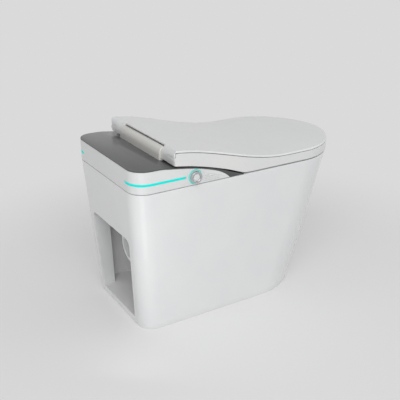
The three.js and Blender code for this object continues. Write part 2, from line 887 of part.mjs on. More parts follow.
// A round bar on the hinge line, on one side, between two distances from the middle.
function hingeBar(side, radius, near, far) {
  const ends = [side * near, side * far];
  return crossBar(radius, Math.min(...ends), Math.max(...ends), hingeDepth, hingeHeight);
}

// Height of the line between seat and lid.
function seamAt(depth) {
  const share = THREE.MathUtils.clamp((depth - seamStart) / (seamEnd - seamStart), 0, 1);
  return seamFrontHeight + (seamRise * (1 + Math.cos(Math.PI * share))) / 2;
}

const seamLine = [];
for (let i = 0; i <= seamSteps; i += 1) {
  const depth = mix(seatRearDepth, seamEnd, i / seamSteps);
  seamLine.push([depth, seamAt(depth)]);
}
seamLine.push([overallLength + overrun, seamFrontHeight]);

const undersideLine = [
  ...smooth(
    seatUndersideShares.map((share, i) => [
      mix(seatRearDepth, seatUndersideEnd, share),
      seatUndersideHeight + seatUndersideRise * seatUndersideHeightShares[i],
    ]),
    profileSteps / 2,
  ),
  [overallLength + overrun, seatUndersideHeight],
];

const halfSeat = seatWidth / 2;
const seatLow = seatUndersideHeight - overrun;
const seatTop = seamFrontHeight + seamRise + overrun;
const rollDepth = seatRearDepth + lidRollRadius;
const lidKnuckleStart = blockHalfWidth + knuckleGap;
const lidKnuckleEnd = lidKnuckleStart + lidKnuckleWidth;
const seatKnuckleStart = lidKnuckleEnd + knuckleGap;
const lidWebFront = hingeDepth + lidWebReach;

// What lies in front of the rear edge that seat and lid share: round by the hinge block, squarer at the ends.
function roll(inset) {
  const top = lidRollHeight + lidRollRadius - inset;
  const front = overallLength + overrun;
  const low = seatLow - overrun;
  const tail = arc([rollDepth, lidRollHeight], lidRollRadius - inset, -rollTailTurn, -rollTailEnd, tailSteps);
  const ring = (x, corner) => {
    const radius = corner - inset;
    const crown = arc([seatRearDepth + corner, top - radius], radius, 0, quarterTurn, tailSteps);
    const outline = [[front, low], [tail[0][0], low], ...tail, ...crown, [front, top]];
    return outline.map(([depth, height]) => new THREE.Vector3(x, yAt(depth), height));
  };
  return loft([
    ring(-halfSeat - overrun, lidRollEndRadius),
    ring(-halfSeat, lidRollEndRadius),
    ring(-blockHalfWidth, lidRollRadius),
    ring(blockHalfWidth, lidRollRadius),
    ring(halfSeat, lidRollEndRadius),
    ring(halfSeat + overrun, lidRollEndRadius),
  ]);
}

// The seat's own rear face, flush with the lid above it and inside the round that the lid's edge passes.
function seatTail() {
  const reach = halfSeat + overrun;
  const behind = cut(
    block(-reach, reach, 0, hingeDepth, seatLow - overrun, seatTop),
    crossBar(seatTailRadius, -reach - overrun, reach + overrun, hingeDepth, hingeHeight, rollSteps),
  );
  const below = block(-reach, reach, 0, rollDepth, seatLow - overrun, lidSkirtHeight - seamGap / 2);
  return cut(roll(0).intersect(below), behind);
}

// The seat's opening, wider at the top.
function seatOpening() {
  const ring = (height, flare) =>
    ovalRing(
      seatOpeningDepth,
      seatOpeningHalfLength + flare,
      seatOpeningHalfWidth + flare,
      bowlExponent,
      height,
    );
  return loft([
    ring(seatLow, 0),
    ring(seatUndersideHeight, 0),
    ring(seamFrontHeight, seatOpeningFlare),
    ring(seatTop, seatOpeningFlare),
  ]);
}

function seatBody() {
  const plan = prism(seatForm, 0, seatLow, seatTop);
  const outside = under(seamLine, -seamGap / 2, seatLow).intersect(join(roll(seatTuck), seatTail()));
  const main = cut(outside, under(undersideLine, 0, seatLow - overrun));
  const knuckles = both(sides, (side) => hingeBar(side, knuckleRadius, seatKnuckleStart, halfSeat));
  return cut(
    join(main, ...knuckles).intersect(plan),
    block(-lidKnuckleStart, lidKnuckleStart, 0, seatRearFace, seatLow, seatTop),
    block(-seatKnuckleStart, seatKnuckleStart, 0, lidWebFront + seatRelief, seatLow, seatTop),
    ...both(sides, (side) => hingeBar(side, pinRadius + pinClearance, 0, pinEnd + 2 * jointGap)),
    seatOpening(),
  );
}

function lidBody() {
  const plan = prism(seatForm, 0, seatLow, seatTop);
  const outside = under(seamLine, lidEdgeHeight, seatLow).intersect(roll(0));
  const inner = roll(lidRollWall);
  const ceiling = under(seamLine, lidEdgeHeight - lidThickness, seatLow - overrun).intersect(inner);
  const skin = cut(
    outside.intersect(plan),
    under(seamLine, seamGap / 2, seatLow - overrun).intersect(inner),
    ceiling.intersect(prism(seatForm, lidRimWidth, seatLow, seatTop)),
    block(
      -halfSeat - overrun,
      halfSeat + overrun,
      0,
      rollDepth + lidRimWidth,
      seatLow - overrun,
      lidSkirtHeight,
    ),
  );
  const webs = both(sides, (side) => {
    const ends = [side * lidKnuckleStart, side * lidKnuckleEnd];
    const web = block(Math.min(...ends), Math.max(...ends), 0, lidWebFront, lidRollHeight, seatTop);
    return join(
      outside.intersect(plan).intersect(web),
      hingeBar(side, knuckleRadius, lidKnuckleStart, lidKnuckleEnd),
    );
  });
  return cut(
    join(skin, ...webs),
    block(-lidKnuckleStart, lidKnuckleStart, 0, lidNotchDepth, seatLow, seatTop),
    crossBar(blockRadius + sweepGap, -lidKnuckleStart, lidKnuckleStart, hingeDepth, hingeHeight, rollSteps),
    ...both(sides, (side) => hingeBar(side, pinRadius + pinClearance, 0, halfSeat)),
  );
}

// The knob's outline with its knurls.
function knurled(radius, depth) {
  const points = [];
  for (let i = 0; i < 2 * knobKnurls; i += 1) {
    const turn = (Math.PI * i) / knobKnurls;
    const reach = radius - (i % 2) * depth;
    points.push([knobDepth - reach * Math.cos(turn), knobHeight + reach * Math.sin(turn)]);
  }
  return points;
}

const knobOuter = -halfDeck - knobReach;
const knobInner = -halfDeck - knobTravel - knobRest;

function knobRim() {
  const faceFloor = knobOuter + knobFaceRecess + knobFaceThickness + jointGap;
  return cut(
    across(knurled(knobRadius, knobKnurlDepth), knobOuter, knobInner),
    knobBar(knobFaceRadius + jointGap, knobOuter - overrun, faceFloor),
    knobBar(stemRadius + jointGap, knobInner - knobStemSocket, knobInner + overrun, smallSteps),
  );
}

function knobFace() {
  const from = knobOuter + knobFaceRecess;
  return knobBar(knobFaceRadius, from, from + knobFaceThickness);
}

function knobStem() {
  const from = knobInner - knobStemSocket + jointGap;
  return knobBar(stemRadius, from, from + stemLength, smallSteps);
}

function lightRing() {
  const from = -halfDeck - lightRingProud;
  const to = -halfDeck + lightRingDepth;
  return cut(
    knobBar(lightRingOuterRadius, from, to),
    knobBar(lightRingInnerRadius, from - overrun, to + overrun),
  );
}

function knobEncoder() {
  const from = -halfDeck + coverWall + jointGap;
  const half = encoderSize / 2;
  return cut(
    block(
      from,
      from + encoderDepth,
      knobDepth - half,
      knobDepth + half,
      knobHeight - half,
      knobHeight + half,
    ),
    knobBar(stemRadius + pinClearance, from - overrun, from + encoderDepth + overrun, smallSteps),
  );
}

function speakerGrille() {
  const holes = [];
  const edge = grilleMargin + grilleHoleRadius;
  const topAt = (depth) =>
    grilleFoot + mix(grilleRearHeight, grilleFrontHeight, (depth - grilleRear) / (grilleFront - grilleRear));
  for (let depth = grilleRear + edge; depth <= grilleFront - edge; depth += grillePitch) {
    for (let height = grilleFoot + edge; height <= topAt(depth) - edge; height += grillePitch) {
      const hole = [];
      for (let k = 0; k < holeSides; k += 1) {
        const turn = (2 * Math.PI * (k + holeTwistShare)) / holeSides;
        hole.push([depth + grilleHoleRadius * Math.cos(turn), height - grilleHoleRadius * Math.sin(turn)]);
      }
      holes.push(hole);
    }
  }
  return sideSheet(grilleOutline(0), holes, -halfDeck, -halfDeck + grilleThickness);
}

function speaker() {
  const from = -halfDeck + coverWall + jointGap + chassisInset;
  const centre = (grilleRear + grilleFront) / 2;
  const rear = centre - speakerLength / 2;
  const to = from + speakerDepth;
  const middle = standHeight + speakerHeight / 2;
  return join(
    block(from, to, rear, rear + speakerLength, standHeight, standHeight + speakerHeight),
    crossBar(magnetRadius, (from + to) / 2, to + magnetLength, centre, middle, smallSteps),
  );
}

// A place by the wands: so far back from their tips and so far above their line.
function wandPlace(back, rise) {
  const tilt = radians(wandTilt);
  return [
    wandTipDepth - back * Math.cos(tilt) + rise * Math.sin(tilt),
    wandTipHeight + back * Math.sin(tilt) + rise * Math.cos(tilt),
  ];
}

// A round bar along a wand's line, between two distances back from its tip.
function wandBar(radius, x, from, to) {
  const geometry = new THREE.CylinderGeometry(radius, radius, to - from, smallSteps * 2);
  geometry.rotateX(radians(wandTilt));
  const [depth, height] = wandPlace((from + to) / 2, 0);
  geometry.translate(x, yAt(depth), height);
  return solid(geometry);
}

const wandRoom = wandRadius + wandClearance;
const cradleHalfWidth = wandSpacing / 2 + wandRoom + cradleWall;

function wandCradle() {
  const outer = wandRoom + cradleWall;
  const rear = cradleSetBack + cradleLength;
  const tip = wandPlace(cradleSetBack, -outer);
  const step = chassisFront + jointGap;
  const stepHeight = tip[1] + (tip[0] - step) * Math.tan(radians(wandTilt));
  const outline = [
    wandPlace(rear, outer),
    [wandPlace(rear, outer)[0], standHeight],
    [step, standHeight],
    [step, stepHeight],
    tip,
    wandPlace(cradleSetBack, outer),
  ];
  return cut(
    across(outline, -cradleHalfWidth, cradleHalfWidth),
    ...both(sides, (side) => wandBar(wandRoom, (side * wandSpacing) / 2, -overrun, wandLength + overrun)),
  );
}

function wandMotor(side) {
  const near = side * (cradleHalfWidth + jointGap);
  const far = near + side * wandMotorLength;
  const [depth, height] = wandPlace(wandMotorPlace, 0);
  return crossBar(wandMotorRadius, Math.min(near, far), Math.max(near, far), depth, height, smallSteps * 2);
}

// A hollow rectangular channel that runs from back to front.
function channel(place, wall, rear, front, low, high) {
  return cut(
    block(place[0], place[1], rear, front, low, high),
    block(place[0] + wall, place[1] - wall, rear - overrun, front + overrun, low + wall, high - wall),
  );
}

const flapPin = [panelFrontDepth - flapSetBack, ductTop - ductWall - flapPinRadius - flapGap];

function dryerDuct() {
  const rear = ductRear + jointGap;
  const tube = channel(ductPlace, ductWall, rear, panelFrontDepth, standHeight, ductTop);
  const reach = ductWidth / 2 + overrun;
  return cut(
    tube,
    crossBar(flapPinRadius + jointGap, ductCentre - reach, ductCentre + reach, ...flapPin, smallSteps),
  );
}

function dryerFlap() {
  const half = ductWidth / 2 - ductWall - flapGap;
  const pinHalf = ductWidth / 2 - jointGap;
  const rear = flapPin[0] - flapThickness / 2;
  const low = standHeight + ductWall + flapGap;
  return join(
    block(ductCentre - half, ductCentre + half, rear, rear + flapThickness, low, flapPin[1]),
    crossBar(flapPinRadius, ductCentre - pinHalf, ductCentre + pinHalf, ...flapPin, smallSteps),
  );
}

const fanPost = (radius, low, high, steps) => post(radius, fanCentre, fanDepth, low, high, steps);
const fanFloor = standHeight + fanWall;
const fanTop = standHeight + fanHeight;

function fanHousing() {
  const outside = join(
    fanPost(fanRadius, standHeight, fanTop),
    block(ductPlace[0], ductPlace[1], fanDepth, ductRear, standHeight, ductTop),
  );
  return cut(
    outside,
    fanPost(fanRadius - fanWall, fanFloor, fanTop - fanWall),
    block(
      ductPlace[0] + fanWall,
      ductPlace[1] - fanWall,
      fanDepth,
      ductRear + overrun,
      fanFloor,
      ductTop - fanWall,
    ),
    fanPost(fanInletRadius, fanFloor, fanTop + overrun),
  );
}

function fanMotor() {
  const low = fanFloor + jointGap;
  return join(
    fanPost(fanMotorRadius, low, low + fanMotorHeight, smallSteps),
    fanPost(fanShaftRadius, low, low + fanMotorHeight + fanShaftLength, smallSteps),
  );
}

function fanImpeller() {
  const low = fanFloor + 3 * jointGap + fanMotorHeight;
  const blades = [];
  const length = impellerRadius - impellerBladeStart;
  for (let i = 0; i < impellerBlades; i += 1) {
    const blade = new THREE.BoxGeometry(length, impellerBladeThickness, impellerHeight);
    blade.translate(impellerBladeStart + length / 2, 0, low + impellerHeight / 2);
    blade.rotateZ((2 * Math.PI * i) / impellerBlades);
    blade.translate(fanCentre, yAt(fanDepth), 0);
    blades.push(solid(blade));
  }
  const disc = fanPost(impellerRadius, low, low + impellerDisc);
  const hub = fanPost(impellerHubRadius, low, low + impellerHeight, smallSteps);
  const bore = fanPost(fanShaftRadius + jointGap, low - overrun, low + overrun, smallSteps);
  return cut(join(disc, hub, ...blades), bore);
}

// A box that stands on the chassis: [x, depth] of its middle, then width, length and height.
function standing(place, size, lift = 0, inset = 0) {
  const halfWide = size[0] / 2 - inset;
  const halfLong = size[1] / 2 - inset;
  const low = standHeight + lift;
  return block(
    place[0] - halfWide,
    place[0] + halfWide,
    place[1] - halfLong,
    place[1] + halfLong,
    low,
    standHeight + size[2],
  );
}

function boardTray() {
  const stands = [];
  for (const sideways of sides) {
    for (const lengthways of sides) {
      const x = trayPlace[0] + sideways * (traySize[0] / 2 - trayWall - 2 * boardStandRadius);
      const depth = trayPlace[1] + lengthways * (traySize[1] / 2 - trayWall - 2 * boardStandRadius);
      stands.push(post(
        boardStandRadius,
        x,
        depth,
        standHeight,
        standHeight + trayWall + boardStand,
        smallSteps,
      ));
    }
  }
  const room = standing(trayPlace, [traySize[0], traySize[1], traySize[2] + overrun], trayWall, trayWall);
  return join(cut(standing(trayPlace, traySize), room), ...stands);
}

function controlBoard() {
  const lift = trayWall + boardStand + jointGap;
  return standing(trayPlace, [traySize[0], traySize[1], lift + boardThickness], lift, trayWall + boardMargin);
}

function heaterTank() {
  const half = heaterLength / 2;
  const centre = standHeight + heaterRadius;
  const saddles = both(sides, (side) => {
    const place = (side * heaterSaddleSpacing) / 2;
    const wide = heaterSaddleWidth / 2;
    const reach = heaterRadius * Math.SQRT1_2;
    return block(place - wide, place + wide, heaterDepth - reach, heaterDepth + reach, standHeight, centre);
  });
  return join(
    crossBar(heaterRadius, -half, half, heaterDepth, centre),
    crossBar(
      heaterNeckRadius,
      -half - heaterNeckLength,
      half + heaterNeckLength,
      heaterDepth,
      centre,
      smallSteps,
    ),
    ...saddles,
  );
}

function inletValve() {
  const rear = valvePlace[1] - valveSize[1] / 2;
  const middle = standHeight + valveSize[2] / 2;
  const port = longBar(
    valvePortRadius,
    valvePlace[0],
    rear - valvePortLength,
    valvePlace[1],
    middle,
    smallSteps,
  );
  return join(standing(valvePlace, valveSize), port);
}

function valveCoil() {
  const low = standHeight + valveSize[2] + jointGap;
  return post(valveCoilRadius, ...valvePlace, low, low + valveCoilHeight, smallSteps * 2);
}

function airPump() {
  const rear = pumpPlace[1] - pumpSize[1] / 2;
  const middle = standHeight + pumpSize[2] / 2;
  const head = longBar(pumpHeadRadius, pumpPlace[0], rear - pumpHeadLength, pumpPlace[1], middle, smallSteps);
  return join(standing(pumpPlace, pumpSize), head);
}

function flushPump() {
  const flangeTop = standHeight + flushFlangeThickness;
  const pumpPost = (radius, low, high) => post(radius, 0, flushPumpDepth, low, high);
  return join(
    pumpPost(flushFlangeRadius, standHeight, flangeTop),
    pumpPost(flushPumpRadius, flangeTop - flushPumpHeight, flangeTop),
    pumpPost(flushCapRadius, flangeTop - flushFlangeThickness / 2, flangeTop + flushCapHeight),
  );
}

// Depth of the bowl's rear surface at a height.
function bowlRear(height) {
  const share = (height - bowlFloorHeight) / bowlDrop;
  const next = bowlHeightShares.findIndex((level) => level <= share);
  const part = (bowlHeightShares[next - 1] - share) / (bowlHeightShares[next - 1] - bowlHeightShares[next]);
  const centre = mix(bowlCentreShares[next - 1], bowlCentreShares[next], part);
  const size = mix(bowlSizeShares[next - 1], bowlSizeShares[next], part);
  return mix(bowlSumpDepth, bowlRimDepth, centre) - bowlRimHalfLength * size;
}

function flushPipe() {
  const from = flushPumpDepth + flushPumpRadius + jointGap;
  const to = bowlRear(flushPipeHeight + flushPipeRadius) - jointGap;
  const bore = flushPipeRadius - flushPipeWall;
  return cut(
    longBar(flushPipeRadius, 0, from, to, flushPipeHeight),
    longBar(bore, 0, from - overrun, to + overrun, flushPipeHeight),
  );
}

// Fixings, drawn about their own axis, hanging from z = 0
function fixingBolt() {
  const head = new THREE.CylinderGeometry(boltHeadRadius, boltHeadRadius, boltHeadHeight, boltHeadSides);
  head.rotateX(Math.PI / 2).translate(0, 0, boltHeadHeight / 2);
  const shank = new THREE.CylinderGeometry(
    boltRadius,
    boltRadius,
    boltLength + boltHeadHeight / 2,
    smallSteps,
  );
  shank.rotateX(Math.PI / 2).translate(0, 0, (boltHeadHeight / 2 - boltLength) / 2);
  return join(solid(head), solid(shank));
}

function wingNut() {
  const collar = new THREE.CylinderGeometry(nutRadius, nutRadius, nutHeight, smallSteps);
  collar.rotateX(Math.PI / 2).translate(0, 0, -nutHeight / 2);
  const wings = new THREE.BoxGeometry(nutWingSpan, nutWingThickness, nutHeight);
  wings.translate(0, 0, -nutHeight / 2);
  const bore = new THREE.CylinderGeometry(
    boltRadius + jointGap,
    boltRadius + jointGap,
    nutHeight + overrun,
    smallSteps,
  );
  bore.rotateX(Math.PI / 2).translate(0, 0, -nutHeight / 2);
  return cut(join(solid(collar), solid(wings)), solid(bore));
}

function bumper(radius, height) {
  const geometry = new THREE.CylinderGeometry(radius, radius, height, smallSteps);
  geometry.rotateX(Math.PI / 2).translate(0, 0, height / 2);
  return solid(geometry);
}

const sideName = (side) => (side < 0 ? "right" : "left");

add(toilet, "ceramic_body", ceramicBody(), glaze);

const housing = new THREE.Group();
toilet.add(housing);
add(housing, "rear_cover", rearCover(), whiteShell);
add(housing, "top_panel", topPanel(), darkPanel);
add(housing, "chassis_plate", chassisPlate(), chassisGrey);
add(housing, "hinge_block", hingeBlock(), hingeGrey);
for (const side of sides) {
  const pin = hingeBar(side, pinRadius, blockHalfWidth - blockEndWall + jointGap, pinEnd);
  add(housing, `${sideName(side)}_hinge_pin`, pin, steel);
  add(housing, `${sideName(side)}_light_strip`, stripBand(side, stripThickness, 0, 0), lightGuide);
}
const damperNear = blockHalfWidth - blockEndWall - damperLength - jointGap;
const damperFar = blockHalfWidth - blockEndWall - jointGap;
add(housing, "seat_damper", hingeBar(-1, damperRadius, damperNear, damperFar), blackPlastic);
add(housing, "lid_damper", hingeBar(1, damperRadius, damperNear, damperFar), blackPlastic);
add(housing, "speaker_grille", speakerGrille(), whiteShell);
add(housing, "speaker", speaker(), blackPlastic);

const knob = new THREE.Group();
housing.add(knob);
add(knob, "knob_light_ring", lightRing(), lightGuide);
add(knob, "knob_rim", knobRim(), chromed);
add(knob, "knob_face", knobFace(), whitePlastic);
add(knob, "knob_stem", knobStem(), steel);
add(knob, "knob_encoder", knobEncoder(), blackPlastic);

const seatUnit = new THREE.Group();
toilet.add(seatUnit);
add(seatUnit, "seat", seatBody(), seatPlastic);
const seatBumper = bumper(seatBumperRadius, seatUndersideHeight - deckHeight - 2 * jointGap);
["middle", "front"].forEach((row, i) => {
  for (const side of sides) {
    const x = side * halfSeat * bumperWidthShares[1 - i];
    const name = `seat_bumper_${row}_${sideName(side)}`;
    const place = yAt(overallLength * bumperDepthShares[1 - i]);
    add(seatUnit, name, seatBumper, rubber).position.set(x, place, deckHeight + jointGap);
  }
});

const lidUnit = new THREE.Group();
seatUnit.add(lidUnit);
add(lidUnit, "lid", lidBody(), whiteShell);
const lidBumperHeight = seamGap / 2 + lidEdgeHeight - lidThickness - 2 * jointGap;
const lidBumper = bumper(lidBumperRadius, lidBumperHeight);
for (const side of sides) {
  const mesh = add(lidUnit, `lid_bumper_${sideName(side)}`, lidBumper, rubber);
  mesh.position.set(
    (side * lidBumperSpacing) / 2,
    yAt(lidBumperDepth),
    seamFrontHeight - seamGap / 2 + jointGap,
  );
}

const washUnit = new THREE.Group();
housing.add(washUnit);
add(washUnit, "wand_cradle", wandCradle(), whitePlastic);
for (const side of sides) {
  const name = side < 0 ? "rear" : "front";
  const x = (side * wandSpacing) / 2;
  add(washUnit, `${name}_wand`, wandBar(wandRadius, x, wandTipLength + jointGap, wandLength), chromed);
  add(washUnit, `${name}_wand_tip`, wandBar(wandRadius, x, 0, wandTipLength), whitePlastic);
  add(washUnit, `${name}_wand_motor`, wandMotor(side), blackPlastic);
}

const dryer = new THREE.Group();
housing.add(dryer);
add(dryer, "dryer_duct", dryerDuct(), whitePlastic);
add(dryer, "dryer_flap", dryerFlap(), whitePlastic);
add(dryer, "fan_housing", fanHousing(), whitePlastic);
add(dryer, "fan_motor", fanMotor(), steel);
add(dryer, "fan_impeller", fanImpeller(), blackPlastic);

const fittings = new THREE.Group();
housing.add(fittings);
add(fittings, "board_tray", boardTray(), blackPlastic);
add(fittings, "control_board", controlBoard(), circuitGreen);
add(fittings, "power_supply", standing(supplyPlace, supplySize), steel);
add(fittings, "heater_tank", heaterTank(), whitePlastic);
add(fittings, "inlet_valve", inletValve(), whitePlastic);
add(fittings, "valve_coil", valveCoil(), brassMetal);
add(fittings, "air_pump", airPump(), blackPlastic);
add(fittings, "deodoriser_cartridge", standing(deodoriserPlace, deodoriserSize), blackPlastic);
add(fittings, "flush_pump", flushPump(), whitePlastic);
add(fittings, "flush_pipe", flushPipe(), rubber);

const fixings = new THREE.Group();
toilet.add(fixings);
const bolt = fixingBolt();
const nut = wingNut();
for (const side of sides) {
  const place = [(side * boltSpacing) / 2, yAt(boltDepth)];
  add(fixings, `${sideName(side)}_fixing_bolt`, bolt, steel).position.set(...place, standHeight);
  add(fixings, `${sideName(side)}_wing_nut`, nut, whitePlastic).position.set(
    ...place,
    deckHeight - deckWall - jointGap,
  );
}

export default toilet;
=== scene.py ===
"""Looks of a one-piece toilet with a washing seat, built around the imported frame.

Sizes are in millimetres: x to the user's left, depth from the rear face forwards, height from the floor.
"""

import json
import logging
from collections.abc import Callable, Iterable, Sequence
from dataclasses import dataclass, field
from enum import Enum
from math import acos, cos, hypot, pi, radians, sin, sqrt

import bmesh
import bpy
import numpy as np
from mathutils import Matrix, Vector

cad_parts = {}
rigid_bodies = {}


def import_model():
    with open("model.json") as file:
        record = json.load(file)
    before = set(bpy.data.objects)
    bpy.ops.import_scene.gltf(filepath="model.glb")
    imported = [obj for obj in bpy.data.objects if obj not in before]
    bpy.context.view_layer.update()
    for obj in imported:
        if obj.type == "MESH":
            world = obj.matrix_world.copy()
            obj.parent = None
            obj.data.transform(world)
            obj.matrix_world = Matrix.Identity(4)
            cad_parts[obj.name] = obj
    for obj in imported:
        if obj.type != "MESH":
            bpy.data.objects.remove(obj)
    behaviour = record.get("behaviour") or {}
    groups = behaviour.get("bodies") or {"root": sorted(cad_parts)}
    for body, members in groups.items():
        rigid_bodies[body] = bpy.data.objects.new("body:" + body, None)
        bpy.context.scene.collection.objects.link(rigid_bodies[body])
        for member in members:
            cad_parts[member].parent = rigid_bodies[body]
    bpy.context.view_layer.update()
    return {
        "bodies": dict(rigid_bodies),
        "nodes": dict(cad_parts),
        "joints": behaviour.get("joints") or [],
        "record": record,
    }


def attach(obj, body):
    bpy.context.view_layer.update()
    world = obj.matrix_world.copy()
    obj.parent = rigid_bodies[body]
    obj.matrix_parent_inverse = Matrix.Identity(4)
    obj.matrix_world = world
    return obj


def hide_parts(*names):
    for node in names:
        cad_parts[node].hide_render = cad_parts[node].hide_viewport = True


log = logging.getLogger("toilet")

MM = 0.001
HALF_LENGTH = 360.5
Pair = tuple[float, float]
Point = tuple[float, float, float]
Shares = Sequence[float]
Piece = bpy.types.Object
Tree = bpy.types.NodeTree
Ring = list[Point]
Choice = Callable[[Vector, list[Vector]], bool]


def metres(point: Sequence[float]) -> Vector:
    """The place of an [x, depth, height] point in the frame, in metres."""
    return Vector((point[0] * MM, (HALF_LENGTH - point[1]) * MM, point[2] * MM))


def depth_of(y: float) -> float:
    """The depth in millimetres of a place along the frame's y."""
    return HALF_LENGTH - y / MM


def mix(a: float, b: float, share: float) -> float:
    """A value between two others."""
    return a + (b - a) * share


def clamp(value: float) -> float:
    """The value kept between 0 and 1."""
    return max(0.0, min(1.0, value))


def ease(value: float) -> float:
    """A soft step from 0 to 1."""
    share = clamp(value)
    return share * share * (3 - 2 * share)


def quarter(steps: int) -> list[float]:
    """Angles over a quarter turn, both ends included."""
    return [pi / 2 * step / steps for step in range(steps + 1)]


def full_turn(steps: int) -> list[float]:
    """Angles over a full turn, with its end left out."""
    return [2 * pi * step / steps for step in range(steps)]


def rounding(radius: float, steps: int) -> list[Pair]:
    """How far a rounded edge lies below its upper face and inside its side face, from side to top."""
    return [(radius * (1 - sin(turn)), radius * (1 - cos(turn))) for turn in quarter(steps)]


class Line:
    """A side profile: height as a smooth function of depth."""

    STEPS = 320

    def __init__(self, points: Sequence[Pair]) -> None:
        """Draws a smooth line through points.

        Args:
            points: the (depth, height) points, from back to front.
        """
        last = len(points) - 1
        depths, heights = [], []
        for step in range(self.STEPS + 1):
            place = last * step / self.STEPS
            i = min(int(place), last - 1)
            t = place - i
            near = [points[min(max(i + k, 0), last)] for k in (-1, 0, 1, 2)]
            for axis, out in ((0, depths), (1, heights)):
                before, a, b, after = (point[axis] for point in near)
                v0, v1 = (b - before) / 2, (after - a) / 2
                cube, square = 2 * a - 2 * b + v0 + v1, 3 * b - 3 * a - 2 * v0 - v1
                out.append(cube * t**3 + square * t**2 + v0 * t + a)
        self.depths = np.array(depths)
        self.heights = np.array(heights)

    def at(self, depth: float) -> float:
        """The height of the line at a depth."""
        return float(np.interp(depth, self.depths, self.heights))


def share_line(ends: Pair, foot: float, rise: float, depths: Shares, heights: Shares) -> Line:
    """A line from its two ends and its lowest height, its points being shares of its length and rise."""
    return Line([(mix(*ends, d), foot + rise * h) for d, h in zip(depths, heights)])


@dataclass(frozen=True)
class Outline:
    """A plan outline: straight sides, a rounded rear and a full nose."""

    width: float
    rear: float
    front: float
    nose: float
    radius: float
    exponent: float

    def ring(self, inset: float = 0.0, bulge: float = 0.0) -> list[Pair]:
        """The closed outline.

        Args:
            inset: how far it is drawn in.
            bulge: how far the nose stands out beyond its plain form.

        Returns:
            The (x, depth) points, from the tip of the nose round by the left side.
        """
        half = self.width / 2 - inset
        rear = self.rear + inset
        radius = max(self.radius - inset, min(0.05, half))
        start = self.front - self.nose
        reach = max(self.nose - inset, 0.05) + bulge
        power = 2 / self.exponent
        left = [(0.0, start + reach)]
        left += [(half * cos(t) ** power, start + reach * sin(t) ** power) for t in quarter(30)[-2::-1]]
        left += [(half, mix(start, rear + radius, step / 36)) for step in range(1, 36)]
        left += [(half - inset, rear + ahead) for ahead, inset in rounding(radius, 9)]
        left += [(mix(half - radius, 0, step / 17), rear) for step in range(1, 18)]
        right = [(-x, depth) for x, depth in reversed(left[1:-1])]
        return left + right

    @staticmethod
    def between(low: "Outline", high: "Outline", share: float) -> "Outline":
        """The outline part of the way from one to another."""
        pairs = zip(vars(low).values(), vars(high).values())
        return Outline(*(mix(a, b, share) for a, b in pairs))


@dataclass(frozen=True)
class Oval:
    """A superellipse seen from above."""

    depth: float
    half_length: float
    half_width: float
    exponent: float

    def toward(self, x: float, depth: float, spread: float = 0.0) -> Pair:
        """Where the oval is crossed on the way from its middle to a place.

        Args:
            x: the place's x.
            depth: the place's depth.
            spread: how far the oval is drawn out.

        Returns:
            The (x, depth) of the crossing.
        """
        along, over = depth - self.depth, x
        size = hypot(along, over) or 1.0
        c, s = over / size, along / size
        a, b = self.half_width + spread, self.half_length + spread
        reach = (abs(c / a) ** self.exponent + abs(s / b) ** self.exponent) ** (-1 / self.exponent)
        return c * reach, self.depth + s * reach

    def ring(self, spread: float, height: float) -> Ring:
        """The oval's points at a height, drawn out by a spread."""
        return [(*self.toward(cos(t), self.depth + sin(t), spread), height) for t in full_turn(96)]


# Work in the viewport, done by operators


def only(piece: Piece) -> None:
    """Makes a piece the one that is selected and active."""
    if bpy.context.object and bpy.context.object.mode != "OBJECT":
        bpy.ops.object.mode_set(mode="OBJECT")
    bpy.ops.object.select_all(action="DESELECT")
    piece.select_set(True)
    bpy.context.view_layer.objects.active = piece


def loft(rings: Sequence[Ring], caps: bool = True) -> Piece:
    """Extrudes a circle through rings of one count each.

    Args:
        rings: the rings, in order.
        caps: whether the two ends are filled; otherwise the last ring lies on the first.

    Returns:
        The closed piece, with its faces outwards.
    """
    count = len(rings[0])
    bpy.ops.object.select_all(action="DESELECT")
    bpy.ops.mesh.primitive_circle_add(vertices=count, radius=MM)
    piece = bpy.context.object
    for vertex, point in zip(piece.data.vertices, rings[0]):
        vertex.co = metres(point)
    bpy.ops.object.mode_set(mode="EDIT")
    bpy.ops.mesh.select_mode(type="EDGE")
    bpy.ops.mesh.select_all(action="SELECT")
    place = {i: i for i in range(count)}
    for ring in rings[1:]:
        bpy.ops.mesh.extrude_region()
        mesh = bmesh.from_edit_mesh(piece.data)
        mesh.verts.index_update()
        fresh = {}
        for vertex in mesh.verts:
            if vertex.select:
                below = next(e.other_vert(vertex) for e in vertex.link_edges if not e.select)
                fresh[vertex.index] = place[below.index]
                vertex.co = metres(ring[place[below.index]])
        place = fresh
        bmesh.update_edit_mesh(piece.data)
    if caps:
        bpy.ops.mesh.edge_face_add()
        bpy.ops.mesh.select_all(action="DESELECT")
        mesh = bmesh.from_edit_mesh(piece.data)
        for edge in mesh.edges:
            edge.select_set(len(edge.link_faces) == 1)
        bpy.ops.mesh.edge_face_add()
    bpy.ops.mesh.select_all(action="SELECT")
    bpy.ops.mesh.remove_doubles(threshold=0.002 * MM)
    bpy.ops.mesh.normals_make_consistent(inside=False)
    bpy.ops.object.mode_set(mode="OBJECT")
    return piece


def circle(middle: Point, ahead: Vector, over: Vector, radius: float, sides: int) -> Ring:
    """A circle's points, square to one direction and starting in another."""
    up = ahead.cross(over)
    return [tuple(Vector(middle) + radius * (cos(t) * over + sin(t) * up)) for t in full_turn(sides)]


def rod(radius: float, start: Point, end: Point, sides: int) -> Piece:
    """A round bar between two points."""
    ahead = (Vector(end) - Vector(start)).normalized()
    over = ahead.orthogonal().normalized()
    return loft([circle(middle, ahead, over, radius, sides) for middle in (start, end)])


def about_hinge(radius: float, start: float, end: float, sides: int = 32) -> Piece:
    """A round bar on the hinge's line, between two places across the object."""
    return rod(radius, (start, *HINGE), (end, *HINGE), sides)


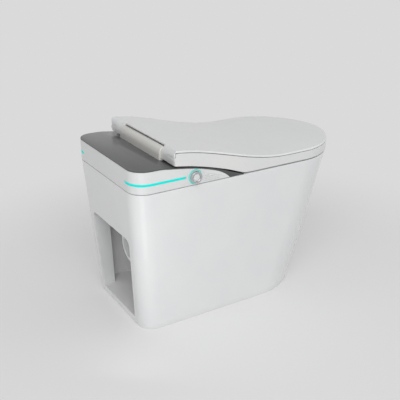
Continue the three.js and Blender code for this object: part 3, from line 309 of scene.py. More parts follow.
def prism(outline: Sequence[Pair], heights: Pair) -> Piece:
    """A plan outline raised between two heights."""
    return loft([[(x, depth, height) for x, depth in outline] for height in heights])


def slab(x: Pair, depth: Pair, height: Pair) -> Piece:
    """A box between limits."""
    return prism([(x[0], depth[0]), (x[1], depth[0]), (x[1], depth[1]), (x[0], depth[1])], height)


def across(outline: Sequence[Pair], near: float, far: float) -> Piece:
    """A side profile extruded across the object."""
    return loft([[(x, depth, height) for depth, height in outline] for x in (near, far)])


class Join(Enum):
    """How one solid works on another."""

    CUT = "DIFFERENCE"
    ADD = "UNION"
    MEET = "INTERSECT"


def work(piece: Piece, how: Join, tools: Iterable[Piece]) -> Piece:
    """Applies tools to a piece, one after another, and removes them.

    Args:
        piece: the piece.
        how: what the tools do to it.
        tools: the tools, in order.

    Returns:
        The piece.
    """
    for tool in tools:
        only(piece)
        modifier = piece.modifiers.new("work", "BOOLEAN")
        modifier.operation = how.value
        modifier.solver = "EXACT"
        modifier.material_mode = "TRANSFER"
        modifier.object = tool
        bpy.ops.object.modifier_apply(modifier=modifier.name)
        bpy.data.objects.remove(tool, do_unlink=True)
    return piece


def round_edges(piece: Piece, wanted: Choice, width: float, segments: int) -> None:
    """Bevels the edges that a test picks.

    Args:
        piece: the piece.
        wanted: tells, from an edge's middle as (x, depth, height) and its faces' normals, if it is rounded.
        width: the bevel's width.
        segments: the number of steps in it.
    """
    only(piece)
    bpy.ops.object.mode_set(mode="EDIT")
    bpy.ops.mesh.select_mode(type="EDGE")
    bpy.ops.mesh.select_all(action="DESELECT")
    mesh = bmesh.from_edit_mesh(piece.data)
    for edge in mesh.edges:
        middle = (edge.verts[0].co + edge.verts[1].co) / 2
        place = Vector((middle.x / MM, depth_of(middle.y), middle.z / MM))
        edge.select_set(wanted(place, [face.normal for face in edge.link_faces]))
    bmesh.update_edit_mesh(piece.data)
    bpy.ops.mesh.bevel(offset=width * MM, segments=segments, affect="EDGES", clamp_overlap=False)
    bpy.ops.mesh.select_all(action="SELECT")
    bpy.ops.mesh.remove_doubles(threshold=0.01 * MM)
    bpy.ops.object.mode_set(mode="OBJECT")


def crease(normals: list[Vector], degrees: float) -> bool:
    """Whether an edge's two faces meet at more than an angle."""
    return len(normals) == 2 and normals[0].angle(normals[1], 0.0) > radians(degrees)


# Finishes

# Numbers of a Mix node's colour sockets, whose names it has more than once
MIX_A, MIX_B, MIX_RESULT = 6, 7, 2


def to_linear(colour: str) -> tuple[float, float, float, float]:
    """A hex sRGB colour as linear red, green, blue and alpha."""
    parts = [int(colour[i : i + 2], 16) / 255 for i in (1, 3, 5)]
    linear = [c / 12.92 if c <= 0.04045 else ((c + 0.055) / 1.055) ** 2.4 for c in parts]
    return *linear, 1.0


def empty_tree(owner: bpy.types.Material | bpy.types.World) -> Tree:
    """The node tree of a material or world, emptied."""
    owner.use_nodes = True
    owner.node_tree.nodes.clear()
    return owner.node_tree


def node(tree: Tree, kind: str, settings: dict | None = None, **links: object) -> bpy.types.Node:
    """Adds a shader node.

    Args:
        tree: the material's node tree.
        kind: the node's type, without its ShaderNode prefix.
        settings: values by property name, or by socket name or number.
        **links: sockets that feed the inputs named so, with _ for a space.

    Returns:
        The node.
    """
    made = tree.nodes.new("ShaderNode" + kind)
    for key, value in (settings or {}).items():
        if isinstance(key, str) and hasattr(made, key):
            setattr(made, key, value)
        else:
            made.inputs[key].default_value = value
    for key, socket in links.items():
        tree.links.new(socket, made.inputs[key.replace("_", " ")])
    return made


class Grain(Enum):
    """The small-scale relief of a surface."""

    GLAZE = "long soft waves of fired glaze"
    POLISHED = "faint sink and polish marks of a glossy moulding"
    SPARK = "spark-eroded texture of a satin moulding"
    TURNED = "fine rings left by turning"
    BRUSHED = "straight fine scratches"
    CAST = "even matt pimples"
    PRINTED = "copper tracks under solder mask"


@dataclass(frozen=True)
class Finish:
    """A surface: its colours, gloss and relief."""

    name: str
    colour: str
    shade: str
    roughness: float
    grain: Grain
    grain_mm: float
    bump_mm: float
    metallic: float = 0.0
    ior: float = 1.5
    coat: float = 0.0
    spread: float = 0.04
    glow: float = 0.0

    def build(self) -> bpy.types.Material:
        """The material, made once."""
        found = bpy.data.materials.get(self.name)
        if found:
            return found
        material = bpy.data.materials.new(self.name)
        tree = empty_tree(material)
        place = node(tree, "TexCoord").outputs["Object"]
        squeeze = {Grain.TURNED: 0.05, Grain.BRUSHED: 0.04}.get(self.grain, 1.0)
        along = node(tree, "Mapping", {"Scale": (squeeze, 1.0, 1.0)}, Vector=place).outputs[0]
        scale = 1 / (self.grain_mm * MM)
        if self.grain is Grain.PRINTED:
            cells = node(tree, "TexVoronoi", {"distance": "MANHATTAN", "Scale": scale}, Vector=along)
            away = cells.outputs["Distance"]
            relief = patches = node(tree, "Math", {"operation": "GREATER_THAN", 1: 0.35}, Value=away).outputs[0]
        else:
            relief = node(tree, "TexNoise", {"Scale": scale, "Detail": 3.0}, Vector=along).outputs["Fac"]
            patches = node(tree, "TexNoise", {"Scale": 9.0, "Detail": 2.0}, Vector=place).outputs["Fac"]
        middle = {"From Min": 0.3, "From Max": 0.7}
        tint = node(tree, "MapRange", middle, Value=patches)
        colours = {"data_type": "RGBA", MIX_A: to_linear(self.colour), MIX_B: to_linear(self.shade)}
        blend = node(tree, "Mix", colours, Factor=tint.outputs[0])
        low, high = self.roughness * (1 - self.spread * 2), self.roughness * (1 + self.spread * 2)
        rough = node(tree, "MapRange", middle | {"To Min": low, "To Max": high}, Value=relief)
        bump = node(tree, "Bump", {"Strength": 1.0, "Distance": self.bump_mm * MM}, Height=relief)
        surface = node(
            tree,
            "BsdfPrincipled",
            {"Metallic": self.metallic, "IOR": self.ior, "Coat Weight": self.coat, "Coat Roughness": 0.06},
            Base_Color=blend.outputs[MIX_RESULT],
            Roughness=rough.outputs[0],
            Normal=bump.outputs[0],
        )
        if self.glow:
            surface.inputs["Emission Color"].default_value = to_linear(self.colour)
            surface.inputs["Emission Strength"].default_value = self.glow
        node(tree, "OutputMaterial", Surface=surface.outputs[0])
        return material


# Vitreous china under a fired glaze: deep gloss with slow waves in it.
CHINA = Finish("vitreous_china_glazed", "#ebecec", "#e8e9ea", 0.10, Grain.GLAZE, 26, 0.10, ior=1.52, coat=0.5)
# The same china where no glaze is sprayed: matt, plain white, with a grain like fine chalk.
BISQUE = Finish("vitreous_china_unglazed", "#ebebeb", "#e5e5e5", 0.7, Grain.CAST, 3.0, 0.04)
# Urea resin, compression moulded and polished: gloss a little softer than glaze.
LID_WHITE = Finish("urea_resin_polished", "#eff0f0", "#ecedee", 0.22, Grain.POLISHED, 12, 0.02, ior=1.56, coat=0.25)
# Polypropylene, moulded with a satin face: a broad quiet sheen.
SEAT_WHITE = Finish("polypropylene_satin", "#e7e7e6", "#e3e4e4", 0.30, Grain.POLISHED, 9, 0.02, ior=1.49, coat=0.15)
# ABS, moulded and polished: even gloss.
SHELL_WHITE = Finish("abs_polished", "#e6e7e7", "#e3e4e5", 0.24, Grain.POLISHED, 10, 0.02, ior=1.54, coat=0.2)
# ABS under a dark satin lacquer: fine sparkle-free grey with a soft highlight.
PANEL_GREY = Finish("abs_lacquered_dark", "#48494a", "#434445", 0.38, Grain.SPARK, 1.6, 0.01, coat=0.5)
# ABS under a pale warm lacquer.
HINGE_GREY = Finish("abs_lacquered_warm", "#dddcd8", "#d8d7d2", 0.32, Grain.SPARK, 1.6, 0.015, coat=0.2)
# Glass-filled polypropylene: dull and faintly mottled.
CHASSIS_GREY = Finish("polypropylene_glass_filled", "#9a9c9e", "#8c8e91", 0.6, Grain.CAST, 2.4, 0.05)
# Frosted acrylic lit from behind: an even cyan glow.
LIGHT_CYAN = Finish("acrylic_frosted_lit", "#00d8ce", "#00ded4", 0.5, Grain.SPARK, 2.0, 0.01, ior=1.3, glow=0.3)
# Zinc casting, turned and chromium plated: a mirror with faint rings.
CHROME = Finish("zinc_chromium_plated", "#c4c6c7", "#bfc1c3", 0.12, Grain.TURNED, 1.2, 0.01, metallic=1.0)
# Stainless steel bar, drawn: fine lines along it.
STEEL = Finish("stainless_steel_drawn", "#b9bbbd", "#aeb0b2", 0.34, Grain.BRUSHED, 1.0, 0.02, metallic=1.0)
# Brass, turned.
BRASS = Finish("brass_turned", "#c6a55c", "#b8954c", 0.34, Grain.TURNED, 1.0, 0.02, metallic=1.0)
# Silicone rubber, moulded: matt with a slight bloom.
RUBBER = Finish("silicone_rubber_moulded", "#8f9192", "#858788", 0.78, Grain.CAST, 1.4, 0.03)
# Glass-fibre board under green solder mask.
BOARD = Finish("fibreglass_solder_masked", "#1d6b3b", "#2d8450", 0.42, Grain.PRINTED, 5.0, 0.02)
# Nylon, black, spark-eroded mould: quiet matt.
BLACK = Finish("nylon_black_moulded", "#2d2e30", "#262729", 0.52, Grain.SPARK, 1.5, 0.04)
# ABS, white, natural mould face.
FITTING_WHITE = Finish("abs_white_moulded", "#e6e7e7", "#e0e1e2", 0.42, Grain.SPARK, 1.8, 0.02)


def dress(piece: Piece, finish: Finish) -> Piece:
    """Gives a piece one finish all over."""
    piece.data.materials.clear()
    piece.data.materials.append(finish.build())
    return piece


def stand_for(
    piece: Piece, degrees: float, node_name: str, body: str, finish: Finish | None = None
) -> None:
    """Lets a piece stand for a node of the frame.

    Args:
        piece: the piece, in place.
        degrees: the angle between its faces up to which it is shaded smooth.
        node_name: the node.
        body: the body that the piece rides on.
        finish: its finish, unless it has its own already.
    """
    only(piece)
    bpy.ops.object.shade_smooth_by_angle(angle=radians(degrees))
    piece.name = piece.data.name = node_name + "_fine"
    if finish:
        dress(piece, finish)
    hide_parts(node_name)
    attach(piece, body)
    log.info("%s: %d faces, %s", piece.name, len(piece.data.polygons), piece.data.materials[0].name)


def refinish(frame: dict, node_name: str, finish: Finish) -> None:
    """Gives a node of the frame, whose shape is right as it is, its finish."""
    for slot in frame["nodes"][node_name].material_slots:
        slot.material = finish.build()
    log.info("%s: %s", node_name, finish.name)


# Places that several pieces share
DECK = 415.0
REAR = 112.8
DECK_OUTLINE = Outline(378, 0, 719, 176, 45, 1.87)
FOOT_OUTLINE = Outline(322.6, 27.4, 602, 168, 47, 1.87)
SEAT_OUTLINE = Outline(379, REAR, 721, 177.7, 6, 1.86)
HALF_DECK = 189.0
HALF_SEAT = 189.5
HALF_BLOCK = 118.0
HALF_NOTCH = 118.8
HINGE = (121.0, 487.0)
PIN_BORE = 4.9
KNOB_AXIS = (172.6, 439.1)


@dataclass
class CeramicBody:
    """The one-piece china body: skirt, bowl, trapway and outlet."""

    wall: float = 14.0
    floor: float = 22.0
    edge: float = 1.5
    rim: float = 6.0
    bulge: float = 3.6
    bowl: Oval = Oval(451, 213, 118, 2.2)
    sump_depth: float = 390.0
    bowl_floor: float = 140.0
    bowl_wall: float = 11.0
    bowl_levels: Shares = (0, 0.09, 0.236, 0.436, 0.655, 0.89, 1)
    bowl_centres: Shares = (0, 0.04, 0.21, 0.57, 0.85, 1, 1)
    bowl_sizes: Shares = (0.23, 0.29, 0.42, 0.65, 0.865, 0.985, 1)
    outlet_height: float = 188.0
    outlet_depth: float = 67.0
    spigot_radius: float = 50.0
    spigot_bore: float = 42.0
    trap_bore: float = 28.0
    trap_wall: float = 9.0
    trap_route: tuple[Pair, ...] = ((390.0, 166.0), (262.0, 226.0), (135.0, 188.0))
    opening_halves: Pair = (97.0, 115.0)
    opening_top: float = 267.0
    opening_corner: float = 18.0
    opening_flare: float = 12.0
    flush_height: float = 348.0
    bolt: Pair = (77.5, 172.0)

    def skirt(self, height: float, inset: float, bulge: float = 0.0) -> Ring:
        """The skirt's outline at a height."""
        form = Outline.between(FOOT_OUTLINE, DECK_OUTLINE, height / DECK)
        return [(x, depth, height) for x, depth in form.ring(inset, bulge)]

    def outside(self) -> Piece:
        """The skirt as a full solid, with soft edges at the deck and the floor."""
        foot = 1.6
        rings = [self.skirt(0, foot), self.skirt(0.5, 0.5), self.skirt(foot, 0)]
        for step in range(1, 24):
            height = mix(foot, DECK - self.edge, step / 24)
            rings.append(self.skirt(height, 0, self.bulge * sin(pi * height / DECK)))
        rings += [self.skirt(DECK - drop, inset) for drop, inset in rounding(self.edge, 5)]
        return loft(rings)

    def bowl_solid(self, wall: float, rise: float) -> Piece:
        """The bowl's inside, drawn out by a wall, with a soft rim where it rises over the deck.

        Args:
            wall: how far it is drawn out.
            rise: how far its top stands over the deck.

        Returns:
            The bowl, filled.
        """
        rings = [self.bowl.ring(self.rim if rise > 0 else wall, DECK + rise)]
        if rise > 0:
            rings += [self.bowl.ring(spread, DECK - drop) for spread, drop in rounding(self.rim, 6)]
        for step in range(1 if rise > 0 else 0, 31):
            level = 1 - step / 30
            tables = self.bowl_centres, self.bowl_sizes
            centre, size = (np.interp(level, self.bowl_levels, table) for table in tables)
            middle = mix(self.sump_depth, self.bowl.depth, centre)
            oval = Oval(middle, self.bowl.half_length * size, self.bowl.half_width * size, self.bowl.exponent)
            rings.append(oval.ring(wall, mix(self.bowl_floor, DECK, level) - wall))
        return loft(rings)

    def trap(self, radius: float) -> Piece:
        """The trapway, from the sump over its crest down to the level outlet.

        Args:
            radius: its radius.

        Returns:
            The trapway, filled.
        """
        entry, crest, end = self.trap_route
        route = [entry]
        for start, stop, lifts in ((entry, crest, (-9, -4.5)), (crest, end, (4.5, -4.5))):
            for third, lift in zip((1 / 3, 2 / 3), lifts):
                route.append((mix(start[0], stop[0], third), mix(start[1], stop[1], third) + lift))
            route.append(stop)
        line = Line([(-depth, height) for depth, height in route])
        every = 13
        stations = [(-depth, height) for depth, height in zip(line.depths[::every], line.heights[::every])]
        rings = []
        for i, (depth, height) in enumerate(stations):
            before, after = stations[max(i - 1, 0)], stations[min(i + 1, len(stations) - 1)]
            ahead = Vector((0, after[0] - before[0], after[1] - before[1])).normalized()
            rings.append(circle((0, depth, height), ahead, Vector((1, 0, 0)), radius, 40))
        return loft(rings)

    def opening(self, wall: float, rear: float, front: float) -> Piece:
        """The opening in the rear face as a plug that widens inwards.

        Args:
            wall: how far it is drawn out.
            rear: the depth of its rear end.
            front: the depth of its front end.

        Returns:
            The plug.
        """
        rings = []
        for depth, spread in ((rear, 0.0), (front, self.opening_flare)):
            foot, top = (half + spread + wall for half in self.opening_halves)
            radius, high = self.opening_corner + wall, self.opening_top + wall
            low = self.floor - (5 if wall else 0)
            left = [(foot, depth, low)]
            left += [(top - inset, depth, high - drop) for drop, inset in rounding(radius, 12)]
            rings.append(left + [(-x, d, z) for x, d, z in reversed(left)])
        return loft(rings)

    def build(self) -> Piece:
        """The whole body, as one mesh, glazed but for the skirt's inside."""
        body = dress(self.outside(), CHINA)
        hollow = loft([self.skirt(height, self.wall) for height in (self.floor, DECK - self.wall)])
        surround = dress(self.opening(wall=10, rear=14, front=62), BISQUE)
        work(surround, Join.MEET, [dress(self.outside(), CHINA)])
        work(body, Join.CUT, [dress(hollow, BISQUE)])
        work(body, Join.ADD, [surround])
        work(body, Join.CUT, [self.opening(wall=0, rear=-20, front=82)])
        axis, flush = self.outlet_height, self.flush_height
        spigot = rod(self.spigot_radius, (0, self.outlet_depth, axis), (0, 155, axis), 72)
        outsides = [self.bowl_solid(self.bowl_wall, -7), self.trap(self.trap_bore + self.trap_wall)]
        work(body, Join.ADD, [dress(piece, BISQUE) for piece in outsides] + [dress(spigot, CHINA)])
        across_deck = (381, 435)
        tools = [
            loft([[(x, depth, -20) for x, depth, _ in self.skirt(0, 25)], self.skirt(10, 25)]),
            self.bowl_solid(0, 20),
            self.trap(self.trap_bore),
            rod(self.spigot_bore, (0, 47, axis), (0, 146, axis), 72),
            rod(13.3, (0, 138, flush), (0, 420, flush), 32),
            slab((-90, 90), (66, 138), across_deck),
        ]
        x, depth = self.bolt
        tools += [rod(6, *((side * x, depth, height) for height in across_deck), 24) for side in (-1, 1)]
        work(body, Join.CUT, tools)
        unglazed = body.data.materials.find(BISQUE.name)
        for face in body.data.polygons:
            on_floor = face.normal.z > 0.9 and abs(face.center.z / MM - self.floor) < 1
            if on_floor and depth_of(face.center.y) < 90:
                face.material_index = unglazed
        return body

    def dress(self) -> None:
        """Builds the body, which has its materials already."""
        stand_for(self.build(), 32, "ceramic_body", "base")


COVER_END, PANEL_END = 281.0, 334.0
COVER_LINE = share_line(
    (0, COVER_END), DECK, 60.8,
    (0, 0.253, 0.352, 0.456, 0.559, 0.665, 0.772, 0.861, 0.925, 0.972, 1),
    (1, 0.99, 0.938, 0.873, 0.801, 0.707, 0.576, 0.444, 0.301, 0.155, 0),
)
PANEL_LINE = share_line(
    (0, PANEL_END), DECK, 63.5,
    (0, 0.213, 0.296, 0.383, 0.47, 0.56, 0.65, 0.725, 0.793, 0.868, 0.943, 1),
    (1, 0.985, 0.94, 0.88, 0.811, 0.72, 0.612, 0.497, 0.37, 0.221, 0.086, 0),
)


def rear_run(inset: float, front: float) -> list[Pair]:
    """The deck's outline round the rear, from one side's front end to the other's.

    Args:
        inset: how far it is drawn in.
        front: the depth of its two ends.

    Returns:
        The (x, depth) points.
    """
    corner = DECK_OUTLINE.radius
    half, radius = HALF_DECK - inset, corner - inset
    left = [(half, mix(front, corner, step / 60)) for step in range(60)]
    left += [(half - radius * (1 - cos(turn)), corner - radius * sin(turn)) for turn in quarter(16)]
    left += [(mix(HALF_DECK - corner, 0, step / 12), inset) for step in range(1, 13)]
    return left + [(-x, depth) for x, depth in reversed(left[:-1])]


def band(front: float, section: Callable[[float], Sequence[Pair]]) -> Piece:
    """A wall round the rear of the housing.

    Args:
        front: the depth at which it ends, on both sides.
        section: its (inset, height) section at a depth.

    Returns:
        The wall.
    """
    runs: dict[float, list[Pair]] = {}
    rings = []
    for k, (_, depth) in enumerate(rear_run(0, front)):
        ring = []
        for inset, height in section(depth):
            key = round(inset, 4)
            if key not in runs:
                runs[key] = rear_run(inset, front)
            ring.append((*runs[key][k], height))
        rings.append(ring)
    return loft(rings)


@dataclass
class Housing:
    """The seat unit's fixed housing on the deck."""

    foot: float = 416.9
    wall: float = 3.0
    ledge: float = 14.0
    edge: float = 2.4
    light_height: float = 441.2
    light_half: float = 3.1
    skin: float = 3.5
    leg: float = 100.0
    arc: float = 20.2
    arc_end: float = 138.0
    rear_middle: float = 485.0
    rear_rise: float = 22.2
    rear_reach: float = 14.7
    rear_power: float = 0.85

    def cover(self) -> Piece:
        """The white wall round the rear, with a soft top edge and its grooves."""

        def section(depth: float) -> list[Pair]:
            """The wall's (inset, height) points at a depth."""
            foot, wall = self.foot, self.wall
            top = max(COVER_LINE.at(depth), foot + 0.9)
            soft, low_soft = min(self.edge, (top - foot) * 0.4), min(0.9, (top - foot) * 0.3)
            points = [(low_soft, foot), (low_soft * 0.3, foot + low_soft * 0.3), (0.0, foot + low_soft)]
            points += [(inset, top - drop) for drop, inset in rounding(soft, 5)]
            low = max(top - wall, foot + 0.4)
            return points + [(self.ledge, top), (self.ledge, low), (wall, low), (wall, foot)]

        def about_knob(radius: float, outer: float, inner: float, sides: int = 96) -> Piece:
            """A round bar on the knob's line."""
            return rod(radius, (-outer, *KNOB_AXIS), (-inner, *KNOB_AXIS), sides)

        cover = band(COVER_END - 1.5, section)
        grille = ((199.7, 419.2), (252.3, 419.2), (252.3, 428.3), (199.7, 444.8))
        behind = ((201.2, 420.7), (250.8, 420.7), (250.8, 426.8), (201.2, 443.3))
        tools = [self.strip(side, 2.2, 0.3, 20) for side in (-1, 1)]
        tools += [about_knob(19.9, 209, 186.8), across(grille, -209, -187.1), across(behind, -209, -180)]
        work(cover, Join.CUT, tools)
        work(cover, Join.ADD, [about_knob(17.3, 189, 186.2)])
        work(cover, Join.CUT, [about_knob(4.4, 200, 180, 32)])
        return cover

    def strip(self, side: int, thickness: float, margin: float, outset: float) -> Piece:
        """The light strip on one side, or its groove.

        Args:
            side: -1 for the user's right, 1 for the left.
            thickness: how deep it reaches into the cover.
            margin: how far it is drawn out at its ends, its top and its foot.
            outset: how far it stands out of the cover; the strip itself is flush, with soft ends.

        Returns:
            The piece.
        """
        half = self.light_half + margin
        soft, tips = (0.5, (0.35, 0.78, 1.0)) if outset <= 0 else (0.01, (1.0,))
        corner = DECK_OUTLINE.radius
        straight = HALF_DECK - corner
        start, end = straight - 13 - margin, 146 + margin
        turned = [(sin(turn), -cos(turn)) for turn in quarter(20)[1:]]
        places = [(mix(start, straight, step / 4), 0.0, 0.0, -1.0) for step in range(5)]
        places += [(straight + corner * over, corner + corner * back, over, back) for over, back in turned]
        places += [(HALF_DECK, mix(corner, end, step / 20), 1.0, 0.0) for step in range(1, 21)]
        rings = []
        for k, (x, depth, out_x, out_d) in enumerate(places):
            rise = half * tips[min(k, len(places) - 1 - k, len(tips) - 1)]
            lower = [(-thickness, -rise), (outset - soft, -rise), (outset, soft - rise)]
            section = lower + [(off, -up) for off, up in reversed(lower)]
            z = self.light_height
            rings.append([(side * (x + out_x * off), depth + out_d * off, z + up) for off, up in section])
        return loft(rings)

    def under(self, line: Line, start: float, end: float, lift: float, half: float, count: int = 90) -> Piece:
        """The room under a line, from side to side."""
        top = [(float(d), line.at(d) + lift) for d in np.linspace(start, end, count)[::-1]]
        return across([(start, 395.0), (end, 395.0)] + top, -half, half)

    def panel(self) -> Piece:
        """The dark top panel, with soft edges above the cover."""
        panel = self.under(PANEL_LINE, -20.0, PANEL_END, 0.0, 209, 120)
        work(panel, Join.MEET, [prism(DECK_OUTLINE.ring(), (self.foot, 500))])
        tools = [self.under(COVER_LINE, -30.0, COVER_END, 0.3, 229)]
        inside = self.under(PANEL_LINE, -30.0, PANEL_END, -self.skin, 229)
        work(inside, Join.MEET, [prism(DECK_OUTLINE.ring(self.skin), (390, 500))])
        bowl = Oval(451, 183, 132, 4)
        work(inside, Join.CUT, [loft([bowl.ring(self.skin, h) for h in (385, 510)])])
        tools += [inside, loft([bowl.ring(0, h) for h in (385, 510)])]
        tools += [slab((-26, 26), (3, 451), (385, 428)), slab((39.7, 80.3), (244, 451), (395.3, 432.8))]
        tools += [slab((x - 9.3, x + 9.3), (111.7, 134.3), (385, 500)) for x in (-self.leg, self.leg)]
        work(panel, Join.CUT, tools)

        def rim(place: Vector, normals: list[Vector]) -> bool:
            """Whether an edge is on the panel's rim, above the cover."""
            at_corner = abs(place.x) > 143 and place.y < DECK_OUTLINE.radius
            on_side = abs(place.x) > HALF_DECK - 0.5 or place.y < 0.5 or at_corner
            above = place.z > COVER_LINE.at(place.y) + 1.2
            flat = any(abs(n.z) < 0.2 for n in normals)
            return on_side and above and flat and crease(normals, 40)

        round_edges(panel, rim, 1.3, 3)
        return panel

    def block(self) -> Piece:
        """The hinge block, with rounded ends."""
        centre_d, centre_z = HINGE
        end = acos((centre_d - self.arc_end) / self.arc)
        outline = [(float(d), PANEL_LINE.at(d) + 0.3) for d in np.linspace(self.arc_end, 106.3, 12)]
        for turn in quarter(20):
            back, over = cos(turn) ** self.rear_power, sin(turn) ** self.rear_power
            outline.append((centre_d - self.rear_reach * back, self.rear_middle + self.rear_rise * over))
        for step in range(1, 17):
            turn = mix(pi / 2, end, step / 16)
            outline.append((centre_d - self.arc * cos(turn), centre_z + self.arc * sin(turn)))
        block = across(outline, -HALF_BLOCK, HALF_BLOCK)
        middles = (-self.leg, self.leg)
        work(block, Join.ADD, [slab((x - 9, x + 9), (112, 134), (419.6, 478)) for x in middles])
        for side in (-1, 1):
            start = side * 59.4
            damper, pin = about_hinge(8.9, start, side * 112), about_hinge(PIN_BORE, start, side * 138)
            work(block, Join.CUT, [damper, pin])

        def end_edge(place: Vector, normals: list[Vector]) -> bool:
            """Whether an edge is at an end of the block, away from its bore."""
            off_bore = hypot(place.y - centre_d, place.z - centre_z) > 12
            at_end = abs(abs(place.x) - HALF_BLOCK) < 0.05 and place.z > 478
            return at_end and off_bore and crease(normals, 40)

        round_edges(block, end_edge, 2.6, 5)
        return block

    def dress(self, frame: dict) -> None:
        """Builds the housing's visible pieces and finishes the rest."""
        stand_for(self.cover(), 35, "rear_cover", "base", SHELL_WHITE)
        stand_for(self.panel(), 30, "top_panel", "base", PANEL_GREY)
        stand_for(self.block(), 35, "hinge_block", "base", HINGE_GREY)
        for side, name in ((-1, "right"), (1, "left")):
            strip = self.strip(side, 1.9, 0.0, 0.0)
            stand_for(strip, 60, f"{name}_light_strip", "base", LIGHT_CYAN)
        refinish(frame, "speaker_grille", SHELL_WHITE)
        refinish(frame, "chassis_plate", CHASSIS_GREY)


@dataclass
class Knob:
    """The turned knob on the user's right, with its lit ring."""

    outer: float = -198.9
    inner: float = -191.6
    grip_radius: float = 15.4
    ridges: int = 32

    def lathe(self, section: Sequence[Pair], sides: int, knurl: float) -> Piece:
        """A turned piece about the knob's line.

        Args:
            section: its (x, radius) points, closed on itself.
            sides: the number of steps round it.
            knurl: the depth of its grip ridges.

        Returns:
            The piece.
        """
        depth, height = KNOB_AXIS
        rings = []
        for step in range(sides + 1):
            turn = 2 * pi * step / sides
            ring = []
            for x, radius in section:
                dip = knurl * (0.5 - 0.5 * cos(turn * self.ridges)) if radius > self.grip_radius else 0.0
                reach = radius - dip
                ring.append((x, depth - reach * cos(turn), height + reach * sin(turn)))
            rings.append(ring)
        return loft(rings, caps=False)

    def dress(self, frame: dict) -> None:
        """Builds the knob's pieces."""
        o, i, back = self.outer, self.inner, -187.1
        lit = back - 2.3
        rim = [(i, 4.3), (i, 15.6), (i - 0.6, 16.2), (o + 1.6, 16.2), (o + 0.9, 15.95), (o + 0.3, 15.4)]
        rim += [(o, 14.6), (o, 12.4), (o + 0.15, 11.6), (o + 0.5, 10.9), (o + 1.0, 10.3)]
        rim += [(o + 3.3, 10.3), (o + 3.3, 4.3)]
        face = [(o + 3.0, 0.02), (o + 3.0, 10.0), (o + 2.6, 10.0), (o + 2.5, 9.2), (o + 1.6, 9.1)]
        face += [(o + 1.2, 8.7), (o + 1.0, 7.8), (o + 0.8, 5.0), (o + 0.75, 0.02)]
        ring = [(lit + 0.3, 17.6), (lit, 17.9), (lit, 19.3), (lit + 0.3, 19.6), (back, 19.6), (back, 17.6)]
        for name, section, sides, knurl, body, slot, finish in (
            ("knob_rim", rim, 256, 0.45, "knob", "chrome", CHROME),
            ("knob_face", face, 96, 0.0, "knob", "white_plastic", FITTING_WHITE),
            ("knob_light_ring", ring, 96, 0.0, "base", "light_guide", LIGHT_CYAN),
        ):
            stand_for(self.lathe(section, sides, knurl), 40, name, body, finish)
        refinish(frame, "knob_stem", STEEL)
        refinish(frame, "knob_encoder", BLACK)


# The wave-shaped line between seat and lid, and the rounded rear that they share
SEAM_START, SEAM_END, SEAM_LOW, SEAM_RISE = 80.6, 475.2, 444.4, 67.8
REAR_TOP, REAR_CORNER, REAR_CORNER_AT_SIDE = 521.5, 36.5, 18.0


def seam_at(depth: float) -> float:
    """Height of the line between seat and lid."""
    share = clamp((depth - SEAM_START) / (SEAM_END - SEAM_START))
    return SEAM_LOW + SEAM_RISE * (1 + cos(pi * share)) / 2


def rolled(point: Point, inset: float) -> Point:
    """A point kept inside the rounded rear edge that seat and lid share.

    Args:
        point: the point.
        inset: how far inside that edge it stays.

    Returns:
        The point, moved where it lay outside.
    """
    x, depth, height = point
    to_side = clamp((abs(x) - HALF_BLOCK) / (HALF_SEAT - HALF_BLOCK))
    corner = mix(REAR_CORNER, REAR_CORNER_AT_SIDE, to_side)
    radius = corner - inset
    middle_d, middle_z = REAR + corner, REAR_TOP - corner
    if height <= middle_z:
        return x, max(depth, REAR + inset), height
    if depth >= middle_d:
        return x, depth, min(height, middle_z + radius)
    away = hypot(depth - middle_d, height - middle_z)
    if away <= radius:
        return point
    scale = radius / away
    return x, middle_d + (depth - middle_d) * scale, middle_z + (height - middle_z) * scale


